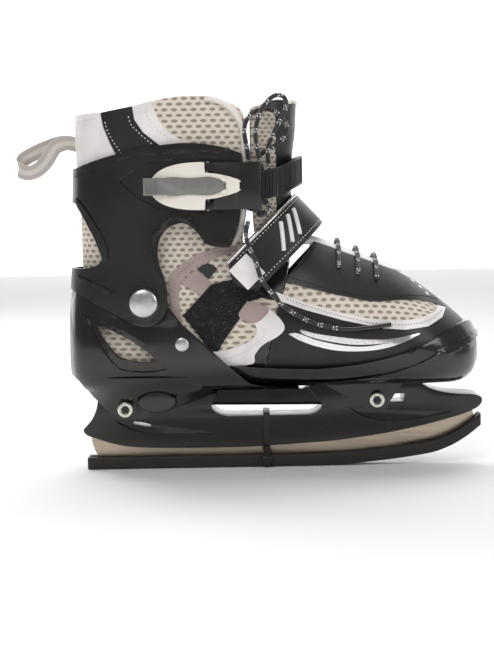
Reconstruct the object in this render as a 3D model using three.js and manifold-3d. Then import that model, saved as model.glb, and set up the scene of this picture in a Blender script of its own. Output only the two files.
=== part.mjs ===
// Size-adjustable ice skate for the right foot, in millimetres.
// +X points to the toe, +Z up and -Y to the outer side of the foot.
// The origin is on the flat underside of the blade guard, below the middle of the skate.
import * as THREE from 'three';
import { mergeVertices } from 'three/addons/utils/BufferGeometryUtils.js';
import Module from 'manifold-3d';

const wasm = await Module();
wasm.setup();

// ---------------------------------------------------------------- driving dimensions
const GAP = 0.3; // between pieces that touch
const ROUND = 28; // sides of a round section

// Soft boot
const BOOT_WALL = 4.5;
const COLLAR_WALL = 7;
const TONGUE_WALL = 8;
const FOOT_BASE = 62; // underside of the soft boot
const HEEL_X = -139;
const TOE_X = 131;
const FOOT_HALF_WIDTH = 46.5; // at the ball of the foot
const ANKLE_HALF_WIDTH = 34;
const COLLAR_HALF_WIDTH = 40;
const TONGUE_FRONT_X = 8;
const BOOT_TOP = 256;

// Hard shells
const SHELL_WALL = 2.8;
const TOE_CLEARANCE = 0.8; // soft boot to toe shell
const TRAY_CLEARANCE = 0.6; // toe shell to heel shell
const CUFF_WALL = 3;
const CUFF_HALF_WIDTH = 44.6;
const SKIRT_HALF_WIDTH = 17.5; // lower rim of the heel shell

// Cuff hinge
const PIVOT = new THREE.Vector2(-93, 118.8);
const CUFF_FLEX = 10; // degrees
const PIVOT_HEAD_R = 9.4;
const PIVOT_SHAFT_R = 4;
const PIVOT_LOBE_R = 16;
const BORE_CLEARANCE = 0.3;

// Blade, holder and guard
const BLADE_THICKNESS = 3;
const SLOT_CLEARANCE = 0.25;
const HOLDER_HALF_WIDTH = 13.5;
const BEAM_HALF_WIDTH = 6.4; // at the blade
const GUARD_HALF_WIDTH = 6.6;
const GUARD_FLOOR = 2.6;
const GUARD_HEIGHT = 8.4;
const BLADE_DROP = 3.2; // guard underside to blade edge
const TIE_THICKNESS = 1.2;
const TIE_WIDTH = 4.6;
const TIE_X = -12;

// Length adjuster
const SIZE_TRAVEL = 20;
const REAR_BOLT = new THREE.Vector2(-109, 44.4);
const FRONT_BOLT = new THREE.Vector2(64, 47.9);
const BOLT_R = 3;
const BOLT_HEAD_R = 5.6;
const EAR_WALL = 4;
const BUTTON = new THREE.Vector2(-87, 49.8);
const BUTTON_LONG_R = 13;
const BUTTON_HIGH_R = 7.6;
const BUTTON_TRAVEL = 3;
const RACK_HALF_WIDTH = 9;

// Buckle and straps
const LADDER_WIDTH = 19;
const LADDER_THICKNESS = 2.2;
const LADDER_REACH = 93; // hinge line to the middle of the tail
const LADDER_HINGE = new THREE.Vector2(-33.5, 46.2);
const BUCKLE_Z = 195.2;
const HOUSING_HEIGHT = 30.5;
const LADDER_RIVET = new THREE.Vector2(-44, 200); // in X and Z
const LEVER_HINGE = new THREE.Vector2(-30, -57.4);
const LEVER_NOSE_R = 3.1;
const STRAP_WIDTH = 27;
const STRAP_THICKNESS = 3.2;

const LACE_D = 3.1;

// ---------------------------------------------------------------- geometry helpers
function solid(geometry) {
  let g = geometry.clone();
  g.deleteAttribute('normal');
  g.deleteAttribute('uv');
  g = mergeVertices(g, 1e-4);
  return new wasm.Manifold(
    new wasm.Mesh({
      numProp: 3,
      vertProperties: new Float32Array(g.attributes.position.array),
      triVerts: new Uint32Array(g.index.array),
    }),
  );
}

function geometryOf(body) {
  const m = body.getMesh();
  const g = new THREE.BufferGeometry();
  g.setAttribute('position', new THREE.BufferAttribute(new Float32Array(m.vertProperties), 3));
  g.setIndex(new THREE.BufferAttribute(new Uint32Array(m.triVerts), 1));
  return g;
}

const shapeOf = (points) => new THREE.Shape(points.map(([a, b]) => new THREE.Vector2(a, b)));

// An outline in X and Z, given its width along Y.
function sideways(shape, yLow, yHigh, curveSegments = 12) {
  const g = new THREE.ExtrudeGeometry(shape, { depth: yHigh - yLow, bevelEnabled: false, curveSegments });
  return solid(g.rotateX(Math.PI / 2).translate(0, yHigh, 0));
}

// An outline in X and Y, given its height along Z.
function upright(shape, zLow, zHigh, curveSegments = 12) {
  const g = new THREE.ExtrudeGeometry(shape, { depth: zHigh - zLow, bevelEnabled: false, curveSegments });
  return solid(g.translate(0, 0, zLow));
}

function block(x, y, z) {
  const g = new THREE.BoxGeometry(x[1] - x[0], y[1] - y[0], z[1] - z[0]);
  return solid(g.translate((x[0] + x[1]) / 2, (y[0] + y[1]) / 2, (z[0] + z[1]) / 2));
}

// A turned piece about an axis along Y: profile points are [radius, y].
function turnedY(profile, x, z, sides = 24) {
  const g = new THREE.LatheGeometry(profile.map(([r, y]) => new THREE.Vector2(r, y)), sides);
  const body = solid(g.translate(x, 0, z));
  return body.volume() > 0 ? body : solid(flipped(g));
}

function flipped(g) {
  const out = g.index ? g.clone() : mergeVertices(g);
  const index = Array.from(out.index.array);
  for (let i = 0; i < index.length; i += 3) {
    [index[i + 1], index[i + 2]] = [index[i + 2], index[i + 1]];
  }
  out.setIndex(index);
  return out;
}

// A pin about an axis along Y or Z.
const pinY = (r, x, z, yLow, yHigh, sides = 24) =>
  solid(new THREE.CylinderGeometry(r, r, yHigh - yLow, sides).translate(x, (yLow + yHigh) / 2, z));
const pinZ = (r, x, y, zLow, zHigh, sides = 16) =>
  solid(
    new THREE.CylinderGeometry(r, r, zHigh - zLow, sides).rotateX(Math.PI / 2).translate(x, y, (zLow + zHigh) / 2),
  );

// A closed body through rings of points, each ring in order round the body.
function loft(rings) {
  const n = rings[0].length;
  const points = rings.flat();
  const index = [];
  for (let k = 0; k < rings.length - 1; k++) {
    for (let i = 0; i < n; i++) {
      const a = k * n + i;
      const b = k * n + ((i + 1) % n);
      index.push(a, b, b + n, a, b + n, a + n);
    }
  }
  const middle = (ring) => ring.reduce((s, p) => s.add(p), new THREE.Vector3()).divideScalar(n);
  points.push(middle(rings[0]), middle(rings[rings.length - 1]));
  const last = (rings.length - 1) * n;
  for (let i = 0; i < n; i++) {
    const j = (i + 1) % n;
    index.push(points.length - 2, j, i, points.length - 1, last + i, last + j);
  }
  let g = new THREE.BufferGeometry().setFromPoints(points);
  g.setIndex(index);
  const body = solid(g);
  return body.volume() > 0 ? body : solid(flipped(g));
}

// The smooth curve of one quantity through a table's rows.
function along(table, key, value, at) {
  const last = table.length - 1;
  let i = table.findIndex((row) => row[key] > at) - 1;
  i = i < 0 ? (at <= table[0][key] ? 0 : last - 1) : i;
  const slope = (j) => {
    const a = table[Math.max(j - 1, 0)];
    const b = table[Math.min(j + 1, last)];
    return (b[value] - a[value]) / (b[key] - a[key]);
  };
  const [p, q] = [table[i], table[i + 1]];
  const span = q[key] - p[key];
  const t = Math.min(Math.max((at - p[key]) / span, 0), 1);
  const [t2, t3] = [t * t, t * t * t];
  return (
    p[value] * (2 * t3 - 3 * t2 + 1) +
    q[value] * (3 * t2 - 2 * t3) +
    slope(i) * span * (t3 - 2 * t2 + t) +
    slope(i + 1) * span * (t3 - t2)
  );
}

const power = (value, p) => Math.sign(value) * Math.abs(value) ** p;

// ---------------------------------------------------------------- the foot and leg forms
const F = FOOT_HALF_WIDTH;
const FOOT = [
  { x: HEEL_X, half: 0.26 * F, base: FOOT_BASE + 10, top: 118, lean: 0 },
  { x: HEEL_X + 5, half: 0.5 * F, base: FOOT_BASE + 3, top: 135, lean: 0 },
  { x: HEEL_X + 14, half: 0.63 * F, base: FOOT_BASE, top: 140, lean: 0 },
  { x: HEEL_X + 30, half: 0.7 * F, base: FOOT_BASE, top: 145, lean: 0 },
  { x: -60, half: 0.76 * F, base: FOOT_BASE, top: 150, lean: 0 },
  { x: -25, half: 0.83 * F, base: FOOT_BASE, top: 158, lean: 2 },
  { x: 15, half: 0.925 * F, base: FOOT_BASE, top: 164, lean: 4 },
  { x: 45, half: F, base: FOOT_BASE, top: 152.5, lean: 5 },
  { x: 78, half: 0.97 * F, base: FOOT_BASE, top: 138, lean: 5 },
  { x: 102, half: 0.82 * F, base: FOOT_BASE, top: 121, lean: 4 },
  { x: TOE_X - 13, half: 0.58 * F, base: FOOT_BASE + 1, top: 108, lean: 3 },
  { x: TOE_X - 4, half: 0.33 * F, base: FOOT_BASE + 6, top: 99, lean: 2 },
  { x: TOE_X, half: 0.12 * F, base: FOOT_BASE + 13, top: 91, lean: 1 },
];

function footRing(x, grow) {
  const half = along(FOOT, 'x', 'half', x) + grow;
  const base = along(FOOT, 'x', 'base', x) - grow;
  const top = along(FOOT, 'x', 'top', x) + grow;
  const lean = along(FOOT, 'x', 'lean', x);
  const wide = base + 0.34 * (top - base);
  const middle = (HEEL_X + TOE_X) / 2;
  const stretch = 1 + (2 * grow) / (TOE_X - HEEL_X);
  const ring = [];
  for (let i = 0; i < ROUND; i++) {
    const a = (2 * Math.PI * i) / ROUND;
    const [c, s] = [Math.cos(a), Math.sin(a)];
    const y = s > 0 ? power(c, 1.02) * half + lean * s * s : power(c, 0.66) * half;
    const z = s > 0 ? wide + (top - wide) * power(s, 1.06) : wide + (wide - base) * power(s, 0.62);
    ring.push(new THREE.Vector3(middle + (x - middle) * stretch, y, z));
  }
  return ring;
}
const footForm = (grow) => loft(FOOT.map((row) => footRing(row.x, grow)));

const LEG = [
  { z: 78, rear: HEEL_X, front: 20, half: 0.95 * ANKLE_HALF_WIDTH },
  { z: 100, rear: HEEL_X - 1.6, front: 24, half: ANKLE_HALF_WIDTH },
  { z: 119, rear: HEEL_X - 1, front: 26, half: ANKLE_HALF_WIDTH },
  { z: 136, rear: HEEL_X + 1, front: 28, half: ANKLE_HALF_WIDTH },
  { z: 152, rear: HEEL_X + 1, front: 22, half: 1.02 * ANKLE_HALF_WIDTH },
  { z: 168, rear: HEEL_X + 1, front: TONGUE_FRONT_X + 5, half: 0.92 * COLLAR_HALF_WIDTH },
  { z: 188, rear: HEEL_X + 0.6, front: TONGUE_FRONT_X, half: 0.955 * COLLAR_HALF_WIDTH },
  { z: 210, rear: HEEL_X, front: TONGUE_FRONT_X, half: 0.97 * COLLAR_HALF_WIDTH },
  { z: 235, rear: HEEL_X - 1, front: TONGUE_FRONT_X + 3, half: COLLAR_HALF_WIDTH },
  { z: BOOT_TOP, rear: HEEL_X, front: TONGUE_FRONT_X + 4, half: 0.97 * COLLAR_HALF_WIDTH },
];

function planRing(rear, front, half, z, squareness = 2.5) {
  const ring = [];
  for (let i = 0; i < ROUND; i++) {
    const a = (2 * Math.PI * i) / ROUND;
    const x = (rear + front) / 2 + power(Math.cos(a), 2 / squareness) * ((front - rear) / 2);
    ring.push(new THREE.Vector3(x, power(Math.sin(a), 2 / squareness) * half, z));
  }
  return ring;
}
function legForm(grow, rise = 0) {
  const rings = LEG.map((row) => planRing(row.rear - grow, row.front + grow, row.half + grow, row.z));
  const top = LEG[LEG.length - 1];
  if (rise) {
    rings.push(planRing(top.rear - grow, top.front + grow, top.half + grow, top.z + rise));
  }
  return loft(rings);
}
const bootForm = (grow, rise = 0) => footForm(grow).add(legForm(grow, rise));

// The cuff is a form of its own: wide at the hinge, close to the collar higher up.
const CUFF_FORM = [
  { z: 98, rear: -148, front: 36, half: CUFF_HALF_WIDTH },
  { z: 120, rear: -147, front: 36, half: CUFF_HALF_WIDTH },
  { z: 142, rear: -145.5, front: 34, half: CUFF_HALF_WIDTH - 0.4 },
  { z: 165, rear: -144.5, front: 24, half: CUFF_HALF_WIDTH - 0.8 },
  { z: 188, rear: -143.7, front: 16, half: CUFF_HALF_WIDTH - 0.8 },
  { z: 208, rear: -142.8, front: 14, half: CUFF_HALF_WIDTH - 0.4 },
  { z: 228, rear: -143.5, front: 14, half: CUFF_HALF_WIDTH },
];
const cuffForm = (grow) =>
  loft(CUFF_FORM.map((r) => planRing(r.rear - grow, r.front + grow, r.half + grow, r.z, 2.6)));

const round = (x, z, r, sides = 40) => {
  const shape = new THREE.Shape();
  shape.absarc(x, z, r, 0, 2 * Math.PI, false);
  return { shape, sides };
};
const discY = (x, z, r, yLow, yHigh, sides = 40) => sideways(round(x, z, r).shape, yLow, yHigh, sides);
const fromPivot = (r, degrees) => {
  const a = THREE.MathUtils.degToRad(degrees);
  return [PIVOT.x + r * Math.cos(a), PIVOT.y + r * Math.sin(a)];
};

// ---------------------------------------------------------------- materials
const finish = (color, roughness, metalness = 0) => ({ color, roughness, metalness });
const FINISH = {
  steel: finish(0xb0a590, 0.35, 1),
  zinc: finish(0xcfd0b8, 0.3, 1),
  satin: finish(0xc4c0bd, 0.4, 1),
  cuffPlastic: finish(0x22201f, 0.6),
  shellPlastic: finish(0x1f1e1a, 0.25),
  holderPlastic: finish(0x23221d, 0.4),
  guardPlastic: finish(0x1c1a1a, 0.7),
  ivory: finish(0xe3dccb, 0.35),
  grey: finish(0x77736e, 0.3, 0.4),
  mesh: finish(0xd3c6b0, 0.95),
  leather: finish(0x1a1a1b, 0.45),
  white: finish(0xe4dada, 0.5),
  tape: finish(0x0e0e0f, 1),
  lace: finish(0x18181a, 0.8),
  foam: finish(0x3a3836, 0.9),
};

const skate = new THREE.Group();
function add(name, body, look) {
  const mesh = new THREE.Mesh(geometryOf(body), new THREE.MeshStandardMaterial(FINISH[look]));
  mesh.name = name;
  skate.add(mesh);
  return body;
}

// ---------------------------------------------------------------- guard, blade and holder
const FLAT_END_X = 10;
const TIP_START_X = 100;
const ground = (x) =>
  0.0009 * Math.max(x - FLAT_END_X, 0) ** 2 + 0.0085 * Math.max(x - TIP_START_X, 0) ** 2;

// A bar that follows the ground line between two ends.
function groundBar(xLow, xHigh, halfWidth, low, high) {
  const stations = [xLow];
  for (let x = FLAT_END_X; x < xHigh; x += x < TIP_START_X ? 24 : 9) {
    stations.push(x);
  }
  stations.push(xHigh);
  return loft(
    stations.map((x) => {
      const [a, b] = [ground(x) + low, ground(x) + high];
      return [
        new THREE.Vector3(x, -halfWidth, a),
        new THREE.Vector3(x, halfWidth, a),
        new THREE.Vector3(x, halfWidth, b),
        new THREE.Vector3(x, -halfWidth, b),
      ];
    }),
  );
}

const GUARD_REAR_X = -138;
const GUARD_TIP_X = 138;
const channelHalf = BLADE_THICKNESS / 2 + 0.6;
const guardGroove = block([TIE_X - TIE_WIDTH / 2 - 0.5, TIE_X + TIE_WIDTH / 2 + 0.5], [-9, 9], [-1, TIE_THICKNESS + 0.5]);
const guard = groundBar(GUARD_REAR_X, GUARD_TIP_X, GUARD_HALF_WIDTH, 0, GUARD_HEIGHT)
  .subtract(groundBar(GUARD_REAR_X + 2.2, GUARD_TIP_X - 2.2, channelHalf, GUARD_FLOOR, GUARD_HEIGHT + 9))
  .subtract(guardGroove);
add('blade_guard', guard, 'guardPlastic');

// The holder's lower edge, where the steel comes out.
const HOLDER_EDGE = [
  [-122, 18.7],
  [-108, 15.8],
  [-83, 14.5],
  [-31, 14.3],
  [4, 15.8],
  [39, 18.2],
  [74, 23],
  [102, 28.9],
  [123, 34.8],
  [132, 38.6],
];
const BLADE_DEPTH = 9; // how far the blade reaches up into the holder

function bladeShape(grow) {
  const shape = new THREE.Shape();
  const low = BLADE_DROP - grow;
  shape.moveTo(-131 - grow, 33 + grow);
  shape.lineTo(-135.5 - grow, 22);
  shape.quadraticCurveTo(-134 - grow, 10, -126, ground(-126) + low);
  for (const x of [FLAT_END_X, 20, 50, 80, 102, 116, 126]) {
    shape.lineTo(x, ground(x) + low + (x > 110 ? 0.6 : 0));
  }
  shape.quadraticCurveTo(133.4 + grow, 26, 133.4 + grow, 35);
  shape.lineTo(130 + grow, 45 + grow);
  for (const [x, z] of [...HOLDER_EDGE].reverse()) {
    if (x < 128 && x > -118) {
      shape.lineTo(x, z + BLADE_DEPTH + grow);
    }
  }
  return shape;
}
const half = BLADE_THICKNESS / 2;
add('blade', sideways(bladeShape(0), -half, half), 'steel');

// Window and recesses of the holder, each in side view.
const WINDOW_LOW = 37.2;
const windowShape = new THREE.Shape();
windowShape.moveTo(-50, 43);
windowShape.quadraticCurveTo(-46, WINDOW_LOW, -36, WINDOW_LOW);
windowShape.lineTo(16, WINDOW_LOW);
windowShape.quadraticCurveTo(24, WINDOW_LOW, 27, 44.5);
windowShape.lineTo(-50, 45.5);
const HOLDER_TOP_REAR = FOOT_BASE - TOE_CLEARANCE - 2 * SHELL_WALL - TRAY_CLEARANCE - 2 * GAP;
const HOLDER_TOP_FRONT = FOOT_BASE - TOE_CLEARANCE - SHELL_WALL - GAP;

const holderOutline = new THREE.Shape();
holderOutline.moveTo(-124, HOLDER_TOP_REAR - 1);
holderOutline.lineTo(-129, 49);
holderOutline.quadraticCurveTo(-130, 38, -139, 30);
holderOutline.quadraticCurveTo(-141.5, 27.2, -137, 24);
for (const [x, z] of HOLDER_EDGE) {
  holderOutline.lineTo(x, z);
}
holderOutline.quadraticCurveTo(138.5, 42, 137.5, 47);
holderOutline.quadraticCurveTo(136, 49.6, 128, 50);
holderOutline.quadraticCurveTo(104, 50.5, 96, HOLDER_TOP_FRONT);
holderOutline.lineTo(18, HOLDER_TOP_FRONT - 1);
holderOutline.lineTo(14, HOLDER_TOP_REAR);
holderOutline.lineTo(-60, HOLDER_TOP_REAR);

// Across, the holder flares from the blade up to its towers.
const holderRing = (x, low) => [
  [-BEAM_HALF_WIDTH, low - 12],
  [BEAM_HALF_WIDTH, low - 12],
  [BEAM_HALF_WIDTH, low + 3],
  [HOLDER_HALF_WIDTH, low + 26],
  [HOLDER_HALF_WIDTH, 70],
  [-HOLDER_HALF_WIDTH, 70],
  [-HOLDER_HALF_WIDTH, low + 26],
  [-BEAM_HALF_WIDTH, low + 3],
].map(([y, z]) => new THREE.Vector3(x, y, z));
const flare = loft([
  holderRing(-150, 17),
  holderRing(-108, 14),
  holderRing(-20, 13),
  holderRing(45, 17),
  holderRing(100, 21),
  holderRing(145, 25),
]);
const lens = (xLow, xHigh, zHigh, zLow, tail) => {
  const shape = new THREE.Shape();
  shape.moveTo(xLow, zHigh);
  shape.quadraticCurveTo(xLow + 12, zLow, xLow + 30, zLow);
  shape.quadraticCurveTo(xHigh - 20, zLow, xHigh, tail);
  shape.quadraticCurveTo(xLow + 36, zHigh - 3.5, xLow, zHigh);
  return shape;
};
const RECESS = 3;
let holder = sideways(holderOutline, -20, 20).intersect(flare);
holder = holder.subtract(sideways(bladeShape(SLOT_CLEARANCE), -half - SLOT_CLEARANCE, half + SLOT_CLEARANCE));
holder = holder.subtract(sideways(windowShape, -20, 20, 6));
for (const side of [-1, 1]) {
  const span = (inner) => (side < 0 ? [-20, -inner] : [inner, 20]);
  const [a, b] = span(HOLDER_HALF_WIDTH - 8);
  holder = holder.subtract(sideways(shapeOf([[-50, 45.6], [27, 44.6], [13, 60], [-44, 60]]), a, b));
  const [c, d] = span(HOLDER_HALF_WIDTH - RECESS - 3);
  holder = holder.subtract(sideways(lens(-117, -46, 35, 24.5, 24.8), c, d, 5));
  holder = holder.subtract(sideways(lens(45, 117, 42, 31.5, 37.6), c, d, 5));
}
holder = holder.subtract(sideways(shapeOf([[-106, 31.8], [-93, 29.4], [-93, 32.4], [-104, 34.6]]), -20, 20));
holder = holder.subtract(discY(REAR_BOLT.x, REAR_BOLT.y, BOLT_R + BORE_CLEARANCE, -20, 20, 24));
const boltSlot = new THREE.Shape();
const slotR = BOLT_R + BORE_CLEARANCE;
boltSlot.absarc(FRONT_BOLT.x, FRONT_BOLT.y, slotR, Math.PI / 2, (3 * Math.PI) / 2, false);
boltSlot.absarc(FRONT_BOLT.x + SIZE_TRAVEL, FRONT_BOLT.y, slotR, -Math.PI / 2, Math.PI / 2, false);
holder = holder.subtract(sideways(boltSlot, -20, 20, 10));
// Room for the latch hook on the rear tower.
const LATCH_X = [BUTTON.x - 4, BUTTON.x + 4];
holder = holder.subtract(block([LATCH_X[0] - 1, LATCH_X[1] + 1], [-20, 20], [46, 70]));
add('blade_holder', holder, 'holderPlastic');

// The cable tie runs under the guard, up both flanks and through the holder's window.
const tieOutline = (grow) => [
  [-GUARD_HALF_WIDTH - 0.4 - grow, TIE_THICKNESS + 0.2 - grow],
  [GUARD_HALF_WIDTH + 0.4 + grow, TIE_THICKNESS + 0.2 - grow],
  [GUARD_HALF_WIDTH + 0.4 + grow, 12],
  [HOLDER_HALF_WIDTH - 0.2 + grow, WINDOW_LOW + 0.4 + grow],
  [-HOLDER_HALF_WIDTH + 0.2 - grow, WINDOW_LOW + 0.4 + grow],
  [-GUARD_HALF_WIDTH - 0.4 - grow, 12],
];
function tieLoop(grow, xLow, xHigh) {
  const g = new THREE.ExtrudeGeometry(shapeOf(tieOutline(grow)), { depth: xHigh - xLow, bevelEnabled: false });
  return solid(g.rotateX(Math.PI / 2).rotateZ(Math.PI / 2).translate(xLow, 0, 0));
}
const TIE_HEAD_Y = -GUARD_HALF_WIDTH - 0.4 - TIE_THICKNESS;
const tie = tieLoop(TIE_THICKNESS, TIE_X - TIE_WIDTH / 2, TIE_X + TIE_WIDTH / 2)
  .subtract(tieLoop(0, TIE_X - TIE_WIDTH, TIE_X + TIE_WIDTH))
  .add(block([TIE_X - 3.6, TIE_X + 3.6], [TIE_HEAD_Y - 3.6, TIE_HEAD_Y + 0.8], [2.4, 8.4]))
  .add(block([TIE_X - TIE_WIDTH / 2, TIE_X + TIE_WIDTH / 2], [TIE_HEAD_Y - 2.4, TIE_HEAD_Y - 1.2], [8, 15]));
add('cable_tie', tie, 'guardPlastic');

// ---------------------------------------------------------------- cuff
const cuffOutline = new THREE.Shape();
const PIVOT_LOBE_START = fromPivot(PIVOT_LOBE_R, 246);
cuffOutline.moveTo(-156, 209);
cuffOutline.lineTo(-138, 209.6);
cuffOutline.quadraticCurveTo(-100, 222, -66, 224);
cuffOutline.quadraticCurveTo(-42, 224, -26, 216.5);
cuffOutline.lineTo(-27, 182);
cuffOutline.quadraticCurveTo(-28, 166, -35, 155);
cuffOutline.quadraticCurveTo(-44, 154, -52, 158);
cuffOutline.quadraticCurveTo(-58, 170, -66, 171.6);
cuffOutline.quadraticCurveTo(-76, 171, -81, 162);
cuffOutline.quadraticCurveTo(-85, 152, -81, 141);
cuffOutline.quadraticCurveTo(-76.4, 130, ...fromPivot(PIVOT_LOBE_R, 8));
cuffOutline.absarc(PIVOT.x, PIVOT.y, PIVOT_LOBE_R, THREE.MathUtils.degToRad(8), THREE.MathUtils.degToRad(246), true);
cuffOutline.lineTo(-156, 133.5);
cuffOutline.lineTo(-156, 141.5);
cuffOutline.lineTo(-141, 141.8);
cuffOutline.quadraticCurveTo(-124, 141, -121, 148);
cuffOutline.quadraticCurveTo(-124, 162, -140, 186);
cuffOutline.lineTo(-156, 188);

const cuffProfile = sideways(cuffOutline, -70, 70, 6);
const pivotBoss = (side) => {
  const y = [CUFF_HALF_WIDTH - 5, CUFF_HALF_WIDTH + 0.2];
  return side < 0
    ? discY(PIVOT.x, PIVOT.y, PIVOT_HEAD_R + 1.2, -y[1], -y[0], 30)
    : discY(PIVOT.x, PIVOT.y, PIVOT_HEAD_R + 1.2, y[0], y[1], 30);
};
const pivotBore = discY(PIVOT.x, PIVOT.y, PIVOT_SHAFT_R + BORE_CLEARANCE, -70, 70, 20);
let cuff = cuffForm(0).add(pivotBoss(-1)).add(pivotBoss(1));
cuff = cuff.subtract(cuffForm(-CUFF_WALL)).intersect(cuffProfile).subtract(pivotBore);
cuff = cuff.subtract(discY(LADDER_RIVET.x, LADDER_RIVET.y, 2 + BORE_CLEARANCE, 20, 70, 16));

const turned = (body, x, z, degrees) => {
  const a = THREE.MathUtils.degToRad(degrees);
  const m = new THREE.Matrix4()
    .makeTranslation(x, 0, z)
    .multiply(new THREE.Matrix4().makeRotationY(a))
    .multiply(new THREE.Matrix4().makeTranslation(-x, 0, -z));
  return solid(geometryOf(body).applyMatrix4(m));
};
// The room that the cuff needs as it flexes.
const CUFF_CLEARANCE = 0.5;
const cuffRoomAtRest = cuffForm(CUFF_CLEARANCE)
  .add(pivotBoss(-1))
  .add(pivotBoss(1))
  .subtract(cuffForm(-CUFF_WALL - CUFF_CLEARANCE))
  .intersect(cuffProfile);
const grownCuffRoom = [-1, 1].reduce(
  (room, step) => room.add(turned(cuffRoomAtRest, PIVOT.x, PIVOT.y, step)),
  cuffRoomAtRest,
);
const cuffRoom = grownCuffRoom
  .add(turned(grownCuffRoom, PIVOT.x, PIVOT.y, CUFF_FLEX / 2))
  .add(turned(grownCuffRoom, PIVOT.x, PIVOT.y, CUFF_FLEX));

// ---------------------------------------------------------------- heel shell
const TRAY_IN = TOE_CLEARANCE + SHELL_WALL + TRAY_CLEARANCE;
const TRAY_OUT = TRAY_IN + SHELL_WALL;
const TRAY_FRONT_X = 10;
const heelOutline = new THREE.Shape();
heelOutline.moveTo(-160, 127);
heelOutline.lineTo(-142, 126.4);
heelOutline.lineTo(-104, 108);
heelOutline.absarc(PIVOT.x, PIVOT.y, PIVOT_LOBE_R - 1.5, THREE.MathUtils.degToRad(225), THREE.MathUtils.degToRad(-4), true);
heelOutline.lineTo(-68, 104);
heelOutline.lineTo(-24, 63.5);
heelOutline.quadraticCurveTo(-18, 59.5, TRAY_FRONT_X, 59.5);
heelOutline.lineTo(TRAY_FRONT_X, 50);
heelOutline.lineTo(-50, 53);
heelOutline.quadraticCurveTo(-74, 45, -84, 40.5);
heelOutline.quadraticCurveTo(-98, 35, -112, 37.5);
heelOutline.quadraticCurveTo(-120, 40, -131, 53);
heelOutline.lineTo(-140, 66);
heelOutline.lineTo(-160, 74);

const SKIRT = [
  { z: 34, rear: -131, front: -70, half: SKIRT_HALF_WIDTH },
  { z: 45, rear: -134, front: -58, half: SKIRT_HALF_WIDTH + 1.5 },
  { z: 53, rear: -138, front: -44, half: SKIRT_HALF_WIDTH + 8 },
  { z: 60, rear: -142, front: -30, half: SKIRT_HALF_WIDTH + 16 },
  { z: 68, rear: -146, front: -20, half: SKIRT_HALF_WIDTH + 22 },
];
const skirtForm = (grow) =>
  loft(SKIRT.map((r) => planRing(r.rear - grow, r.front + grow, r.half + grow, r.z, 3)));
const boltBoss = (point, side, yIn, yOut, r) =>
  side < 0 ? discY(point.x, point.y, r, -yOut, -yIn, 24) : discY(point.x, point.y, r, yIn, yOut, 24);

const REAR_BOSS_Y = SKIRT_HALF_WIDTH + 3.2;
let heel = bootForm(TRAY_OUT).add(skirtForm(0)).subtract(bootForm(TRAY_IN));
heel = heel.subtract(skirtForm(-SHELL_WALL).subtract(block([-200, 200], [-90, 90], [FOOT_BASE - TRAY_OUT, 120])));
heel = heel.intersect(sideways(heelOutline, -70, 70, 6));
const holderSide = HOLDER_HALF_WIDTH + GAP;
heel = heel.subtract(block([-130.4, 30], [-holderSide, holderSide], [20, HOLDER_TOP_REAR + GAP]));
for (const side of [-1, 1]) {
  heel = heel.add(boltBoss(REAR_BOLT, side, holderSide, REAR_BOSS_Y, BOLT_HEAD_R + 1.8));
  heel = heel.subtract(boltBoss(REAR_BOLT, side, REAR_BOSS_Y, 60, BOLT_HEAD_R + 0.6));
}
heel = heel.subtract(cuffRoom);
heel = heel.subtract(pivotBore);
heel = heel.subtract(discY(REAR_BOLT.x, REAR_BOLT.y, BOLT_R + BORE_CLEARANCE, -70, 70, 24));
// Side windows, rear slots, and the oval hole for the size button.
const sideWindow = new THREE.Shape();
sideWindow.moveTo(-126, 104);
sideWindow.quadraticCurveTo(-104, 98, -84, 79);
sideWindow.quadraticCurveTo(-104, 78, -112, 84);
sideWindow.quadraticCurveTo(-121, 94, -126, 104);
heel = heel.subtract(sideways(sideWindow, -70, 70, 5));
for (const z of [[86, 98], [66.5, 77]]) {
  heel = heel.subtract(block([-160, -128], [-12, 12], z));
}
const oval = (grow) => {
  const shape = new THREE.Shape();
  shape.absellipse(BUTTON.x, BUTTON.y, BUTTON_LONG_R + grow, BUTTON_HIGH_R + grow, 0, 2 * Math.PI, false, 0);
  return shape;
};
heel = heel.subtract(sideways(oval(0.4), -70, -SKIRT_HALF_WIDTH + 4, 28));
// Slot in the tray for the latch hook.
heel = heel.subtract(block([LATCH_X[0] - 1, LATCH_X[1] + 1], [-22, 18], [48, 64]));
// Small rivet holes.
const SMALL_RIVET = new THREE.Vector2(-68, 90.8);
heel = heel.subtract(discY(SMALL_RIVET.x, SMALL_RIVET.y, 2.2, -70, 70, 16));
add('heel_shell', heel, 'shellPlastic');
add('cuff', cuff, 'cuffPlastic');

// ---------------------------------------------------------------- rivets and bolts
for (const [side, word] of [[-1, 'lateral'], [1, 'medial']]) {
  const y0 = CUFF_HALF_WIDTH + 0.2 + GAP;
  const head = [
    [0, side * (y0 + 2.6)],
    [5, side * (y0 + 2.3)],
    [PIVOT_HEAD_R - 1, side * (y0 + 1.3)],
    [PIVOT_HEAD_R, side * (y0 + 0.5)],
    [PIVOT_HEAD_R, side * y0],
    [PIVOT_SHAFT_R, side * y0],
    [PIVOT_SHAFT_R, side * (ANKLE_HALF_WIDTH + 1.3)],
    [6, side * (ANKLE_HALF_WIDTH + 1.3)],
    [6, side * (ANKLE_HALF_WIDTH + GAP)],
    [0, side * (ANKLE_HALF_WIDTH + GAP)],
  ];
  add(`pivot_rivet_${word}`, turnedY(head, PIVOT.x, PIVOT.y, 28), 'satin');
  const small = [
    [0, side * 46.4],
    [3, side * 46],
    [4.5, side * 44.6],
    [4.5, side * 44],
    [1.9, side * 44],
    [1.9, side * 37],
    [0, side * 37],
  ];
  add(`small_rivet_${word}`, turnedY(small, SMALL_RIVET.x, SMALL_RIVET.y, 16), 'satin');
}

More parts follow.
